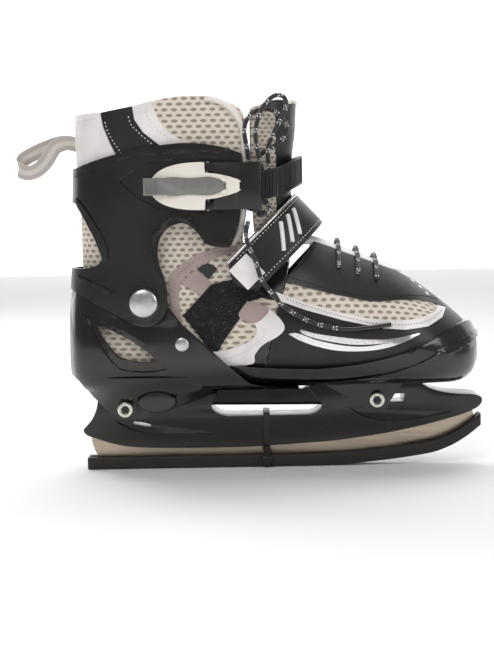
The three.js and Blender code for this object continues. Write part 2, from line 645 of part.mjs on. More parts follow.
// A bolt across the skate: head on the outer side, nut on the inner side.
function bolt(name, point, yFace) {
  const h = yFace + GAP;
  const profile = [
    [0, -h - 1.4],
    [2.2, -h - 1.4],
    [2.2, -h - 3.4],
    [BOLT_HEAD_R - 1.2, -h - 3.4],
    [BOLT_HEAD_R, -h - 2.4],
    [BOLT_HEAD_R, -h],
    [BOLT_R, -h],
    [BOLT_R, h + 3.2],
    [0, h + 3.2],
  ];
  add(`${name}_bolt`, turnedY(profile, point.x, point.y, 24), 'zinc');
  const nut = solid(
    new THREE.CylinderGeometry(BOLT_HEAD_R, BOLT_HEAD_R, 4, 6).translate(point.x, h + 2, point.y),
  ).subtract(discY(point.x, point.y, BOLT_R + 0.15, 0, 40, 24));
  add(`${name}_nut`, nut, 'zinc');
}
bolt('rear', REAR_BOLT, REAR_BOSS_Y);

// ---------------------------------------------------------------- toe shell
const EAR_OUT = HOLDER_HALF_WIDTH + 0.4 + EAR_WALL;
const TOE_REAR_X = -46;
const toeProfile = new THREE.Shape();
toeProfile.moveTo(TOE_REAR_X, 50);
toeProfile.lineTo(TOE_REAR_X, 76.5);
toeProfile.quadraticCurveTo(-10, 72.6, 21, 72.7);
toeProfile.quadraticCurveTo(70, 76, 100, 91);
toeProfile.quadraticCurveTo(117, 101, 128, 101);
toeProfile.lineTo(150, 98);
toeProfile.lineTo(150, 50);
let toe = footForm(TOE_CLEARANCE + SHELL_WALL).subtract(footForm(TOE_CLEARANCE));
toe = toe.intersect(sideways(toeProfile, -70, 70, 6));
const ear = new THREE.Shape();
const EAR_R = 9;
ear.moveTo(28, HOLDER_TOP_FRONT + 1);
ear.quadraticCurveTo(44, 50, FRONT_BOLT.x - 8, FRONT_BOLT.y - 5.6);
ear.absarc(FRONT_BOLT.x, FRONT_BOLT.y, EAR_R, (5 * Math.PI) / 4, -0.2, false);
ear.lineTo(82, HOLDER_TOP_FRONT + 1);
for (const side of [-1, 1]) {
  const [a, b] = side < 0 ? [-EAR_OUT, -EAR_OUT + EAR_WALL] : [EAR_OUT - EAR_WALL, EAR_OUT];
  toe = toe.add(sideways(ear, a, b, 5));
}
toe = toe.subtract(discY(FRONT_BOLT.x, FRONT_BOLT.y, BOLT_R + BORE_CLEARANCE, -40, 40, 24));
add('toe_shell', toe, 'shellPlastic');
bolt('front', FRONT_BOLT, EAR_OUT);

// ---------------------------------------------------------------- length adjuster
const RACK_Z = [FOOT_BASE - TRAY_IN + 2 * GAP, FOOT_BASE - GAP];
let rack = block([-108, TOE_REAR_X - GAP], [-RACK_HALF_WIDTH, RACK_HALF_WIDTH], RACK_Z);
for (let x = BUTTON.x - 20; x <= BUTTON.x + 5; x += 5) {
  const notch = shapeOf([[x - 1.6, RACK_HALF_WIDTH - 2.4], [x + 1.6, RACK_HALF_WIDTH - 2.4], [x + 1.6, 12], [x - 1.6, 12]]);
  rack = rack.subtract(upright(notch, RACK_Z[0] - 1, RACK_Z[1] + 1));
}
add('size_rack', rack, 'grey');

const BUTTON_FACE = SKIRT_HALF_WIDTH + 8;
const BUTTON_BACK = HOLDER_HALF_WIDTH + BUTTON_TRAVEL + 1;
add('size_button', sideways(oval(0), -BUTTON_FACE, -BUTTON_BACK - 3, 28), 'shellPlastic');
// The hook passes under the rack and catches it from the far side.
const HOOK_Z = [FOOT_BASE - TRAY_IN - 3, FOOT_BASE - TRAY_IN - GAP];
const HOOK_X = [LATCH_X[0] + 0.5, LATCH_X[1] - 0.5];
const hookTooth = RACK_HALF_WIDTH + 0.6;
const hook = block(HOOK_X, [-BUTTON_BACK - 2.6, hookTooth + 3], HOOK_Z)
  .add(block(HOOK_X, [-BUTTON_BACK - 2.6, -BUTTON_BACK], [BUTTON.y - 4, HOOK_Z[1]]))
  .add(block(HOOK_X, [hookTooth, hookTooth + 3], [HOOK_Z[0], RACK_Z[1] - 0.4]));
add('latch_hook', hook, 'satin');

class Spiral extends THREE.Curve {
  getPoint(t) {
    const a = 2 * Math.PI * 3 * t;
    return new THREE.Vector3(BUTTON.x + 2.2 * Math.cos(a), -BUTTON_BACK + 0.7 + 2.6 * t, BUTTON.y + 2.2 * Math.sin(a));
  }
}
const wire = new THREE.Shape();
wire.absarc(0, 0, 0.3, 0, 2 * Math.PI, false);
const spring = new THREE.ExtrudeGeometry(wire, { steps: 30, extrudePath: new Spiral(), curveSegments: 3, bevelEnabled: false });
add('button_spring', solid(spring), 'zinc');

// ---------------------------------------------------------------- soft boot
const hollowBoot = (wall) => bootForm(0).subtract(bootForm(-wall, 30));
const WEDGE_LOW = 15.5; // degrees from the hinge: the lower parts stay below, the cuff's parts above
const WEDGE_HIGH = 27;
const SPLIT_R = 60;

const arcPoints = (r, from, to, steps) =>
  Array.from({ length: steps + 1 }, (_, i) => fromPivot(r, from + ((to - from) * i) / steps));

const quarterProfile = shapeOf([
  [-170, 50],
  [-15, 50],
  [-12.4, 78],
  [-5, 110],
  [2, 134],
  [3, 145.2],
  ...arcPoints(SPLIT_R, WEDGE_LOW, 132, 10),
  [-170, 163],
]);
// The room that the toe shell needs as it slides.
const toeRoomAtRest = footForm(TOE_CLEARANCE + SHELL_WALL)
  .subtract(footForm(TOE_CLEARANCE - GAP))
  .intersect(sideways(toeProfile, -70, 70, 6).translate([-GAP, 0, GAP]));
const toeRoom = [0.2, 0.4, 0.6, 0.8, 1].reduce(
  (room, share) => room.add(toeRoomAtRest.translate([share * SIZE_TRAVEL, 0, 0])),
  toeRoomAtRest,
);
const quarter = hollowBoot(BOOT_WALL)
  .intersect(sideways(quarterProfile, -70, 70))
  .subtract(cuffRoom)
  .subtract(toeRoom);
add('quarter', quarter, 'mesh');

const vampProfile = shapeOf([
  [-13, 50],
  [-11, 78],
  [-4, 110],
  [3.4, 134],
  [21, 153],
  [24, 175],
  [150, 175],
  [150, 50],
]);
const THROAT_HALF = 15;
const THROAT_END_X = 80;
const throat = (grow) => {
  const shape = new THREE.Shape();
  shape.moveTo(-40, -THROAT_HALF - grow + 4);
  shape.lineTo(THROAT_END_X - 12, -THROAT_HALF * 0.7 - grow + 4);
  shape.absarc(THROAT_END_X - 12, 4, THROAT_HALF * 0.7 + grow, -Math.PI / 2, Math.PI / 2, false);
  shape.lineTo(-40, THROAT_HALF + grow + 4);
  return upright(shape, 100, 200, 8);
};
const vamp = footForm(0)
  .subtract(footForm(-BOOT_WALL))
  .intersect(sideways(vampProfile, -70, 70))
  .subtract(throat(0));
add('vamp', vamp, 'leather');

const lowerTongueProfile = shapeOf([[25, 120], [25, 175], [92, 175], [92, 120]]);
const tongueLower = footForm(-BOOT_WALL - 0.6)
  .subtract(footForm(-BOOT_WALL - 5))
  .intersect(sideways(lowerTongueProfile, -70, 70))
  .intersect(throat(5));
add('tongue_lower', tongueLower, 'leather');

const gussetProfile = shapeOf([[-15, 78], [-8, 110], [-2, 132], [12, 140], [18, 140], [18, 78]]);
const gusset = footForm(-BOOT_WALL - 4).subtract(footForm(-BOOT_WALL - 5.4)).intersect(sideways(gussetProfile, -70, 70));
add('toe_gusset_lateral', gusset.subtract(block([-200, 200], [0, 90], [0, 300])), 'foam');
add('toe_gusset_medial', gusset.subtract(block([-200, 200], [-90, 0], [0, 300])), 'foam');

const INSOLE_Z = [FOOT_BASE + BOOT_WALL + 1, FOOT_BASE + BOOT_WALL + 5];
const insoleForm = footForm(-BOOT_WALL - 4).translate([0, 0, -3.2]);
add('insole', insoleForm.intersect(block([-140, 100], [-60, 60], INSOLE_Z)), 'foam');

// Collar and upper tongue move with the cuff.
const COLLAR_FRONT_X = -23;
const collarProfile = shapeOf([
  ...arcPoints(SPLIT_R + 1.5, WEDGE_HIGH, 132, 10),
  [-170, 166],
  [-170, 243],
  [-141, 243.5],
  [-124, 244.5],
  [-100, 248],
  [-80, 253.6],
  [-63, 255.8],
  [-45, 255],
  [-32, 250],
  [COLLAR_FRONT_X, 238],
  [COLLAR_FRONT_X, 205],
  [-26, 181],
  [-34, 152],
]);
const ringOpening = bootForm(-COLLAR_WALL, 30);
const collar = bootForm(0)
  .subtract(ringOpening)
  .intersect(sideways(collarProfile, -70, 70))
  .subtract(discY(PIVOT.x, PIVOT.y, SPLIT_R + 1, -70, 70, 60));
add('collar', collar, 'mesh');

const wedgeTop = (x) => PIVOT.y + (x - PIVOT.x) * Math.tan(THREE.MathUtils.degToRad(WEDGE_HIGH));
const tongueProfile = shapeOf([
  [-18.5, wedgeTop(-18.5) + 6],
  [20, wedgeTop(20)],
  [20, 252],
  [-2, 253.5],
  [-20.5, 247],
  [-20.5, 200],
]);
const tongueUpper = legForm(0).subtract(legForm(-TONGUE_WALL, 30)).intersect(sideways(tongueProfile, -70, 70));
add('tongue_upper', tongueUpper, 'leather');

// ---------------------------------------------------------------- pull ribbon at the heel
// One flat band stands on its edge and leaves the heel seam, turns at its tip and comes back.
const RIBBON_WIDTH = 10;
const RIBBON_THICKNESS = 1.2;
const RIBBON_PATH = [
  [-138, -1.7, 225.8],
  [-145, -3.2, 227.6],
  [-149.5, -4, 226.9],
  [-154, -4.6, 225],
  [-157, -5, 221.2],
  [-160.5, -5.4, 215.5],
  [-166, -5.8, 210],
  [-172, -5.4, 207.6],
  [-178, -3.2, 208.6],
  [-180.6, 0.4, 212],
  [-178.6, 4, 216.6],
  [-174, 5.4, 219.6],
  [-167, 6, 223.2],
  [-161, 5.6, 225.4],
  [-154, 4.4, 227.6],
  [-147, 3, 228.2],
  [-138, 1.7, 225.8],
];
const ribbonCurve = new THREE.CatmullRomCurve3(RIBBON_PATH.map((p) => new THREE.Vector3(...p)), false, 'centripetal');
const RIBBON_STEPS = 44;
const ribbonRings = [];
for (let i = 0; i <= RIBBON_STEPS; i++) {
  const p = ribbonCurve.getPoint(i / RIBBON_STEPS);
  const t = ribbonCurve.getTangent(i / RIBBON_STEPS);
  const up = new THREE.Vector3(0, 0, 1).addScaledVector(t, -t.z).normalize().multiplyScalar(RIBBON_WIDTH / 2);
  const out = new THREE.Vector3().crossVectors(t, up).normalize().multiplyScalar(RIBBON_THICKNESS / 2);
  ribbonRings.push([
    p.clone().sub(up).sub(out),
    p.clone().sub(up).add(out),
    p.clone().add(up).add(out),
    p.clone().add(up).sub(out),
  ]);
}
const ribbonClear = legForm(GAP, 10);
add('heel_loop', loft(ribbonRings).subtract(ribbonClear), 'white');

// ---------------------------------------------------------------- ratchet buckle
const H = LADDER_HINGE;
const sectorPoints = (r, from, to, steps = 10) =>
  Array.from({ length: steps + 1 }, (_, i) => {
    const a = THREE.MathUtils.degToRad(from + ((to - from) * i) / steps);
    return [H.x + r * Math.sin(a), H.y - r * Math.cos(a)];
  });
const sector = (rIn, rOut, from, to) => shapeOf([...sectorPoints(rIn, from, to), ...sectorPoints(rOut, to, from)]);
const HOUSING_Z = [BUCKLE_Z - HOUSING_HEIGHT / 2, BUCKLE_Z + HOUSING_HEIGHT / 2];
const CHANNEL = 0.45;
const tailIn = LADDER_REACH - LADDER_THICKNESS / 2;
const tailOut = LADDER_REACH + LADDER_THICKNESS / 2;
const HOUSING_OUT = LADDER_REACH + 7;
const housingSpan = [-13, 11.5];
const PAWL_PIN_X = -48.6;
const PAWL_PIN = new THREE.Vector2(PAWL_PIN_X, H.y - Math.sqrt((LADDER_REACH + 4.2) ** 2 - (H.x - PAWL_PIN_X) ** 2));
const lugZ = [BUCKLE_Z - 2, BUCKLE_Z + 2];
const channelZ = [BUCKLE_Z - LADDER_WIDTH / 2 - CHANNEL, BUCKLE_Z + LADDER_WIDTH / 2 + CHANNEL];
const LADDER_TAIL_DEGREES = -10;
let housing = upright(sector(tailIn - CHANNEL - 1, HOUSING_OUT, ...housingSpan), ...HOUSING_Z)
  .subtract(upright(sector(tailIn - CHANNEL, tailOut + CHANNEL, -20, 20), ...channelZ))
  .subtract(upright(sector(tailOut, HOUSING_OUT + 2, -20, -6.6), ...channelZ));
housing = housing
  .add(block([LEVER_HINGE.x - 1.7, LEVER_HINGE.x + 1.7], [LEVER_HINGE.y, LEVER_HINGE.y + 5], lugZ))
  .add(pinZ(1.7, LEVER_HINGE.x, LEVER_HINGE.y, ...lugZ, 20))
  .subtract(pinZ(1.1, LEVER_HINGE.x, LEVER_HINGE.y, 150, 250))
  .subtract(pinZ(1.1, PAWL_PIN.x, PAWL_PIN.y, 150, 250));
housing = housing.subtract(cuffForm(GAP));
add('buckle_housing', housing, 'cuffPlastic');
add('pawl_pin', pinZ(1, PAWL_PIN.x, PAWL_PIN.y, HOUSING_Z[0] - 0.8, HOUSING_Z[1] + 0.8), 'zinc');

// The pawl hangs on its pin and bears on the strap's ribs.
const pawlOutline = shapeOf([
  [PAWL_PIN.x + 1.6, PAWL_PIN.y + 1.2],
  [PAWL_PIN.x + 1.6, PAWL_PIN.y - 1.2],
  [PAWL_PIN.x, PAWL_PIN.y - 1.9],
  [PAWL_PIN.x - 4.6, PAWL_PIN.y - 0.6],
  [PAWL_PIN.x - 4.2, PAWL_PIN.y + 3.2],
  [PAWL_PIN.x - 1, PAWL_PIN.y + 2],
]);
const pawl = upright(pawlOutline, channelZ[0] + 1.5, channelZ[1] - 1.5).subtract(
  pinZ(1.1, PAWL_PIN.x, PAWL_PIN.y, 150, 250),
);
add('ratchet_pawl', pawl, 'satin');

// Lever: plan view and side view, cut from each other.
const LEVER_OUT = LEVER_HINGE.y - LEVER_NOSE_R;
const LEVER_IN = LEVER_HINGE.y + LEVER_NOSE_R - 0.6;
const LEVER_REAR_X = -84;
const leverPlan = new THREE.Shape();
leverPlan.moveTo(LEVER_HINGE.x, LEVER_OUT);
leverPlan.absarc(LEVER_HINGE.x, LEVER_HINGE.y, LEVER_NOSE_R, -Math.PI / 2, Math.PI / 3, false);
leverPlan.lineTo(LEVER_HINGE.x - 4, LEVER_IN);
leverPlan.lineTo(-56, LEVER_IN);
leverPlan.lineTo(-57.4, -48.4);
leverPlan.lineTo(-76, -48);
leverPlan.lineTo(LEVER_REAR_X, -52);
leverPlan.lineTo(LEVER_REAR_X - 0.6, LEVER_OUT + 3.4);
leverPlan.quadraticCurveTo(-76, LEVER_OUT, -62, LEVER_OUT);
const leverSide = new THREE.Shape();
leverSide.moveTo(LEVER_HINGE.x + 4, BUCKLE_Z - 2.6);
leverSide.quadraticCurveTo(-36, BUCKLE_Z - 7.6, -50, BUCKLE_Z - 8.6);
leverSide.lineTo(-50.5, BUCKLE_Z - 15.4);
leverSide.quadraticCurveTo(-78, BUCKLE_Z - 16, LEVER_REAR_X - 1, BUCKLE_Z - 5);
leverSide.lineTo(LEVER_REAR_X - 1, BUCKLE_Z + 5);
leverSide.quadraticCurveTo(-78, BUCKLE_Z + 16, -50.5, BUCKLE_Z + 15.4);
leverSide.lineTo(-50, BUCKLE_Z + 8.6);
leverSide.quadraticCurveTo(-36, BUCKLE_Z + 7.6, LEVER_HINGE.x + 4, BUCKLE_Z + 2.6);

const TAB_FRONT_X = -38;
const TAB_REAR_X = -90;
const TAB_THICKNESS = 2.2;
const TAB_AXIS = new THREE.Vector2(TAB_FRONT_X, LEVER_OUT - 0.4);
const tabSide = (grow) => {
  const shape = new THREE.Shape();
  const [tip, end, waist] = [1.6 + grow, 5.6 + grow, 4 + grow];
  shape.moveTo(TAB_FRONT_X + 1.2 + grow, BUCKLE_Z - tip);
  shape.quadraticCurveTo(-44, BUCKLE_Z - end, -49, BUCKLE_Z - end);
  shape.quadraticCurveTo(-60, BUCKLE_Z - waist, -68, BUCKLE_Z - end);
  shape.lineTo(TAB_REAR_X - grow, BUCKLE_Z - end);
  shape.lineTo(TAB_REAR_X - grow, BUCKLE_Z + end);
  shape.lineTo(-68, BUCKLE_Z + end);
  shape.quadraticCurveTo(-60, BUCKLE_Z + waist, -49, BUCKLE_Z + end);
  shape.quadraticCurveTo(-44, BUCKLE_Z + end, TAB_FRONT_X + 1.2 + grow, BUCKLE_Z + tip);
  return shape;
};
const tabPlan = upright(
  shapeOf([
    [TAB_REAR_X, LEVER_OUT + 0.6],
    [TAB_FRONT_X, LEVER_OUT + 0.6],
    [TAB_FRONT_X + 1.1, LEVER_OUT - 0.4],
    [TAB_FRONT_X, LEVER_OUT - 1.4],
    [TAB_REAR_X, LEVER_OUT + 0.6 - TAB_THICKNESS],
  ]),
  BUCKLE_Z - 10,
  BUCKLE_Z + 10,
);
const tabBore = pinZ(0.7, TAB_AXIS.x, TAB_AXIS.y, 150, 250);
const pinGroove = block([TAB_AXIS.x - 1, TAB_AXIS.x + 1], [LEVER_OUT - 3, LEVER_OUT + 0.5], [BUCKLE_Z - 4.4, BUCKLE_Z + 4.4]);
const leverEar = block([TAB_AXIS.x - 1.8, TAB_AXIS.x + 1.8], [LEVER_OUT - 1.4, LEVER_OUT + 1], [BUCKLE_Z - 5.6, BUCKLE_Z + 5.6]);
let lever = upright(leverPlan, BUCKLE_Z - 16, BUCKLE_Z + 16, 8)
  .intersect(sideways(leverSide, -70, -40, 8))
  .add(leverEar)
  .subtract(sideways(tabSide(0.4), -70, LEVER_OUT + 1, 6))
  .subtract(block([LEVER_HINGE.x - 2.4, LEVER_HINGE.x + 12], [LEVER_HINGE.y - 2.1, -40], [lugZ[0] - 0.4, lugZ[1] + 0.4]))
  .subtract(pinZ(1.1, LEVER_HINGE.x, LEVER_HINGE.y, 150, 250))
  .subtract(tabBore);
add('buckle_lever', lever, 'ivory');
add('lever_pin', pinZ(1, LEVER_HINGE.x, LEVER_HINGE.y, BUCKLE_Z - 4.6, BUCKLE_Z + 4.6), 'zinc');
add('release_tab', tabPlan.intersect(sideways(tabSide(0), -80, -40, 6)).subtract(tabBore), 'grey');
add('tab_pin', pinZ(0.6, TAB_AXIS.x, TAB_AXIS.y, BUCKLE_Z - 4.9, BUCKLE_Z + 4.9, 12), 'zinc');

// ---------------------------------------------------------------- ladder strap
// A flat band along a path of [x, y, z of its middle], upright all the way.
function band(path, thickness, width) {
  const curve = new THREE.CatmullRomCurve3(path.map((p) => new THREE.Vector3(...p)), false, 'centripetal');
  const steps = path.length * 3;
  const rings = [];
  for (let i = 0; i <= steps; i++) {
    const p = curve.getPoint(i / steps);
    const t = curve.getTangent(i / steps);
    const n = new THREE.Vector3(-t.y, t.x, 0).normalize().multiplyScalar(thickness / 2);
    const up = new THREE.Vector3(0, 0, width / 2);
    rings.push([
      p.clone().add(n).sub(up),
      p.clone().sub(n).sub(up),
      p.clone().sub(n).add(up),
      p.clone().add(n).add(up),
    ]);
  }
  return loft(rings);
}
const tail = [-10, -5, 0, 6, 11.5].map((d) => {
  const a = THREE.MathUtils.degToRad(d);
  return [H.x + LADDER_REACH * Math.sin(a), H.y - LADDER_REACH * Math.cos(a), BUCKLE_Z];
});
const ladderPath = [
  ...tail,
  [-2, -40.6, 198],
  [8, -30.5, 203],
  [13.4, -15, 206],
  [14.4, 0, 207],
  [13.4, 15, 207],
  [8.6, 29, 206],
  [-2, 39.5, 204],
  [-16, 44.6, 202],
  [H.x + 1.2, H.y, 200],
];
let ladder = band(ladderPath, LADDER_THICKNESS, LADDER_WIDTH);
add('ladder_strap', ladder, 'cuffPlastic');
const ladderRoot = block([-54, H.x - 0.4], [H.y - 1.2, H.y + 1.2], [200 - LADDER_WIDTH / 2, 200 + LADDER_WIDTH / 2])
  .subtract(cuffForm(GAP))
  .subtract(discY(LADDER_RIVET.x, LADDER_RIVET.y, 2.2, 40, 60, 16));
add('ladder_strap_root', ladderRoot, 'cuffPlastic');
add(
  'ladder_rivet',
  turnedY([[0, 49.6], [3, 49.4], [4.6, H.y + 1.5], [2, H.y + 1.5], [2, 38.8], [0, 38.8]], LADDER_RIVET.x, LADDER_RIVET.y, 16),
  'satin',
);

// ---------------------------------------------------------------- instep strap
// It lies in a plane that leans with the instep: U runs forward and up, V across the strap.
const STRAP_ORIGIN = new THREE.Vector3(-34, 0, 129);
const STRAP_U = new THREE.Vector3(0.722, 0, 0.692);
const STRAP_V = new THREE.Vector3(0.692, 0, -0.722);
const strapPoint = (u, y, v) =>
  STRAP_ORIGIN.clone().addScaledVector(STRAP_U, u).addScaledVector(STRAP_V, v).add(new THREE.Vector3(0, y, 0));
const ARCH_LONG = 71.5;
const ARCH_HALF = 44.6;
const archAt = (degrees, grow) => {
  const a = THREE.MathUtils.degToRad(degrees);
  return [(ARCH_LONG + grow) * power(Math.cos(a), 0.95), (ARCH_HALF + grow) * power(Math.sin(a), 0.86)];
};
function archBand(fromDeg, toDeg, grow, thickness, width, steps) {
  const rings = [];
  for (let i = 0; i <= steps; i++) {
    const d = fromDeg + ((toDeg - fromDeg) * i) / steps;
    const [ui, yi] = archAt(d, grow);
    const [uo, yo] = archAt(d, grow + thickness);
    rings.push([
      strapPoint(ui, yi, -width / 2),
      strapPoint(uo, yo, -width / 2),
      strapPoint(uo, yo, width / 2),
      strapPoint(ui, yi, width / 2),
    ]);
  }
  return loft(rings);
}
add('instep_strap', archBand(84, -88, 0, STRAP_THICKNESS, STRAP_WIDTH, 26), 'leather');
add('instep_strap_root', archBand(97, 85, 0, STRAP_THICKNESS, STRAP_WIDTH, 3), 'leather');
add('strap_badge', archBand(-74, -86, STRAP_THICKNESS + GAP, 0.9, STRAP_WIDTH * 0.66, 3), 'white');

// ---------------------------------------------------------------- lace
function tube(points, diameter, steps) {
  const path = new THREE.CatmullRomCurve3(points.map((p) => new THREE.Vector3(...p)), false, 'centripetal');
  const shape = new THREE.Shape();
  shape.absarc(0, 0, diameter / 2, 0, 2 * Math.PI, false);
  return solid(new THREE.ExtrudeGeometry(shape, { steps, extrudePath: path, curveSegments: 4, bevelEnabled: false }));
}
// Rows over the throat of the toe part, each lying on the tongue's curve.
const LACE_ROWS = [37.5, 50.5, 63];
LACE_ROWS.forEach((x, k) => {
  const row = [];
  for (let i = 0; i <= 10; i++) {
    const a = THREE.MathUtils.degToRad(48 + (84 * i) / 10);
    const half = along(FOOT, 'x', 'half', x) + LACE_D / 2 + 0.5;
    const top = along(FOOT, 'x', 'top', x) + LACE_D / 2 + 0.5;
    const base = along(FOOT, 'x', 'base', x);
    const wide = base + 0.34 * (top - base);
    const lean = along(FOOT, 'x', 'lean', x);
    const y = power(Math.cos(a), 1.02) * half + lean * Math.sin(a) ** 2;
    row.push([x + 5 * Math.sin(a) - 3, y, wide + (top - wide) * power(Math.sin(a), 1.06)]);
  }
  add(`lace_row_${k + 1}`, tube(row, LACE_D, 14), 'lace');
});

// The knot, the two loops of the bow and the loose end.
const knotForm = new THREE.SphereGeometry(1, 14, 10).scale(9, 4.2, 7.3).translate(-15, -36.5, 181);
add('lace_knot', solid(knotForm), 'lace');
const BOW_REAR = [
  [-20.5, -36.4, 189.5],
  [-20.5, -37, 205],
  [-22.5, -38.6, 220],
  [-24, -38.8, 233],
  [-20, -38, 242],
  [-11, -36, 246],
  [-2, -35, 243],
  [4, -34, 235],
  [3, -34, 228],
  [-5, -34.6, 221],
  [-13, -35.4, 216],
  [-16, -35.8, 205],
  [-16, -35.6, 189.5],
];
const BOW_FRONT = [
  [-12, -39.4, 189.5],
  [-12.4, -40.2, 204],
  [-15.5, -40.8, 218],
  [-16.5, -40.8, 232],
  [-12, -40.4, 246],
  [-4, -39.8, 254],
  [3, -39.2, 252.5],
  [3, -39.2, 244],
  [-3, -39.6, 233],
  [-8.5, -39.6, 220],
  [-8, -37.6, 204],
  [-8, -36.6, 189.5],
];
const TAIL_LATERAL = [
  [-22.5, -39.5, 171.5],
  [-24, -44, 165],
  [-23, -48.6, 157],
  [-18.5, -50.2, 146.5],
  [-14.5, -50.6, 134],
  [-8, -50.4, 124.5],
  [0, -48, 115.6],
  [10, -46.5, 108.6],
  [20, -46.8, 104],
  [30, -47.6, 101.3],
  [42, -48.6, 99.5],
  [55, -49, 100.2],
  [71, -47.5, 102.2],
];
add('lace_bow_rear', tube(BOW_REAR, LACE_D, 44), 'lace');
add('lace_bow_front', tube(BOW_FRONT, LACE_D, 44), 'lace');
add('lace_tail_lateral', tube(TAIL_LATERAL, LACE_D, 36), 'lace');

// ---------------------------------------------------------------- hook tape under the instep strap
const tapeProfile = shapeOf([[-64, 122], [-46, 134], [-22, 92], [-40, 78], [-52, 90]]);
const tape = bootForm(1.1)
  .subtract(bootForm(GAP))
  .intersect(sideways(tapeProfile, -70, 0))
  .subtract(cuffRoom)
  .subtract(toeRoom);
add('hook_tape', tape, 'tape');

export default skate;
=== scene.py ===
"""Size-adjustable ice skate: the visual model on its CAD frame. Lengths in this file are in mm."""

import math

import bpy
import numpy as np
from mathutils import Matrix, Vector
from mathutils.bvhtree import BVHTree


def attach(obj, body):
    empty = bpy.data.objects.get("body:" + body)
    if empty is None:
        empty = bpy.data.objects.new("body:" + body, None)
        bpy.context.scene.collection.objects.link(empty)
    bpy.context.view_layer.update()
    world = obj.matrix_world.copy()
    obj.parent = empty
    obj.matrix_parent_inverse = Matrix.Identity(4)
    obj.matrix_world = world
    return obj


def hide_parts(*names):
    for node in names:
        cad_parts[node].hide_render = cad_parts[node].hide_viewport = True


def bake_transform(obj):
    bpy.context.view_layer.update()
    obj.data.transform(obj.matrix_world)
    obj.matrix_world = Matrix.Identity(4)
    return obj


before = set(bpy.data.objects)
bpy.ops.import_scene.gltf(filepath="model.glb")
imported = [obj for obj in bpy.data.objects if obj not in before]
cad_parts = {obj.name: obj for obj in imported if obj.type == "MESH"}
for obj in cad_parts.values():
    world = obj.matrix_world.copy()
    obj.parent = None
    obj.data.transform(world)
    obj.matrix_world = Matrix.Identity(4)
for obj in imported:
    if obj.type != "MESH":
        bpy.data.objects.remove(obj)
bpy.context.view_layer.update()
MM = 0.001
SCENE = bpy.context.scene


# ------------------------------------------------------------------ camera
def camera():
    bpy.ops.object.camera_add(location=(-0.0232, -0.8966, 0.1747))
    cam = bpy.context.object
    cam.name = "camera"
    aim = Vector((-0.0246, 0, 0.0963)) - cam.location
    turn = aim.to_track_quat("-Z", "Y").to_matrix().to_4x4()
    roll = Matrix.Rotation(math.radians(-1), 4, "Z")
    cam.matrix_world = Matrix.Translation(cam.location) @ turn @ roll
    cam.data.sensor_fit = "VERTICAL"
    cam.data.sensor_height = 36
    cam.data.lens = 70.2
    cam.data.clip_start = 0.05
    SCENE.camera = cam


camera()


# ------------------------------------------------------------------ modelling helpers
def pick(obj):
    bpy.ops.object.select_all(action="DESELECT")
    obj.select_set(True)
    bpy.context.view_layer.objects.active = obj


def edit(obj, *steps):
    """Runs mesh operators in edit mode: each step is (operator, keywords)."""
    pick(obj)
    bpy.ops.object.mode_set(mode="EDIT")
    bpy.ops.mesh.select_all(action="SELECT")
    for operator, keywords in steps:
        operator(**keywords)
    bpy.ops.object.mode_set(mode="OBJECT")


def modify(obj, kind, **settings):
    pick(obj)
    mod = obj.modifiers.new("m", kind)
    for key, value in settings.items():
        setattr(mod, key, value)
    bpy.ops.object.modifier_apply(modifier=mod.name)
    return obj


def places(obj):
    co = np.zeros(len(obj.data.vertices) * 3, np.float32)
    obj.data.vertices.foreach_get("co", co)
    return co.reshape(-1, 3).astype(float) / MM


def move(obj, co):
    obj.data.vertices.foreach_set("co", (np.asarray(co) * MM).astype(np.float32).ravel())
    obj.data.update()


def outward(obj):
    edit(obj, (bpy.ops.mesh.normals_make_consistent, {"inside": False}))
    return obj


def wrapped(name, rings):
    """A closed body through rings: a grid whose points are moved onto them."""
    rings = np.array(rings)
    count, around = rings.shape[:2]
    bpy.ops.mesh.primitive_grid_add(x_subdivisions=around, y_subdivisions=count - 1)
    obj = bpy.context.object
    obj.name = name
    move(obj, np.concatenate([rings, rings[:, :1]], axis=1).reshape(-1, 3))
    edit(
        obj,
        (bpy.ops.mesh.remove_doubles, {"threshold": 1e-6}),
        (bpy.ops.mesh.select_all, {"action": "DESELECT"}),
        (bpy.ops.mesh.select_non_manifold, {}),
        (bpy.ops.mesh.edge_face_add, {}),
        (bpy.ops.mesh.select_all, {"action": "SELECT"}),
        (bpy.ops.mesh.normals_make_consistent, {"inside": False}),
    )
    return obj


def slab(name, points, low, high, axis="Y"):
    """A flat outline given its thickness along an axis."""
    bpy.ops.mesh.primitive_circle_add(vertices=len(points), radius=1, fill_type="NGON")
    obj = bpy.context.object
    obj.name = name
    at = {"Y": lambda a, b: (a, low, b), "Z": lambda a, b: (a, b, low), "X": lambda a, b: (low, a, b)}[axis]
    push = {"Y": (0, 1, 0), "Z": (0, 0, 1), "X": (1, 0, 0)}[axis]
    move(obj, [at(a, b) for a, b in points])
    step = {"value": tuple(MM * (high - low) * p for p in push)}
    edit(
        obj,
        (bpy.ops.mesh.extrude_region_move, {"TRANSFORM_OT_translate": step}),
        (bpy.ops.mesh.select_all, {"action": "SELECT"}),
        (bpy.ops.mesh.normals_make_consistent, {"inside": False}),
    )
    return obj


def box(name, x, y, z):
    return slab(name, [(x[0], z[0]), (x[1], z[0]), (x[1], z[1]), (x[0], z[1])], y[0], y[1])


def disc(name, x, z, r, low, high, sides=64):
    turn = np.linspace(0, 2 * math.pi, sides, endpoint=False)
    return slab(name, [(x + r * math.cos(a), z + r * math.sin(a)) for a in turn], low, high)


def pin(name, x, y, r, low, high, sides=32):
    turn = np.linspace(0, 2 * math.pi, sides, endpoint=False)
    return slab(name, [(x + r * math.cos(a), y + r * math.sin(a)) for a in turn], low, high, "Z")


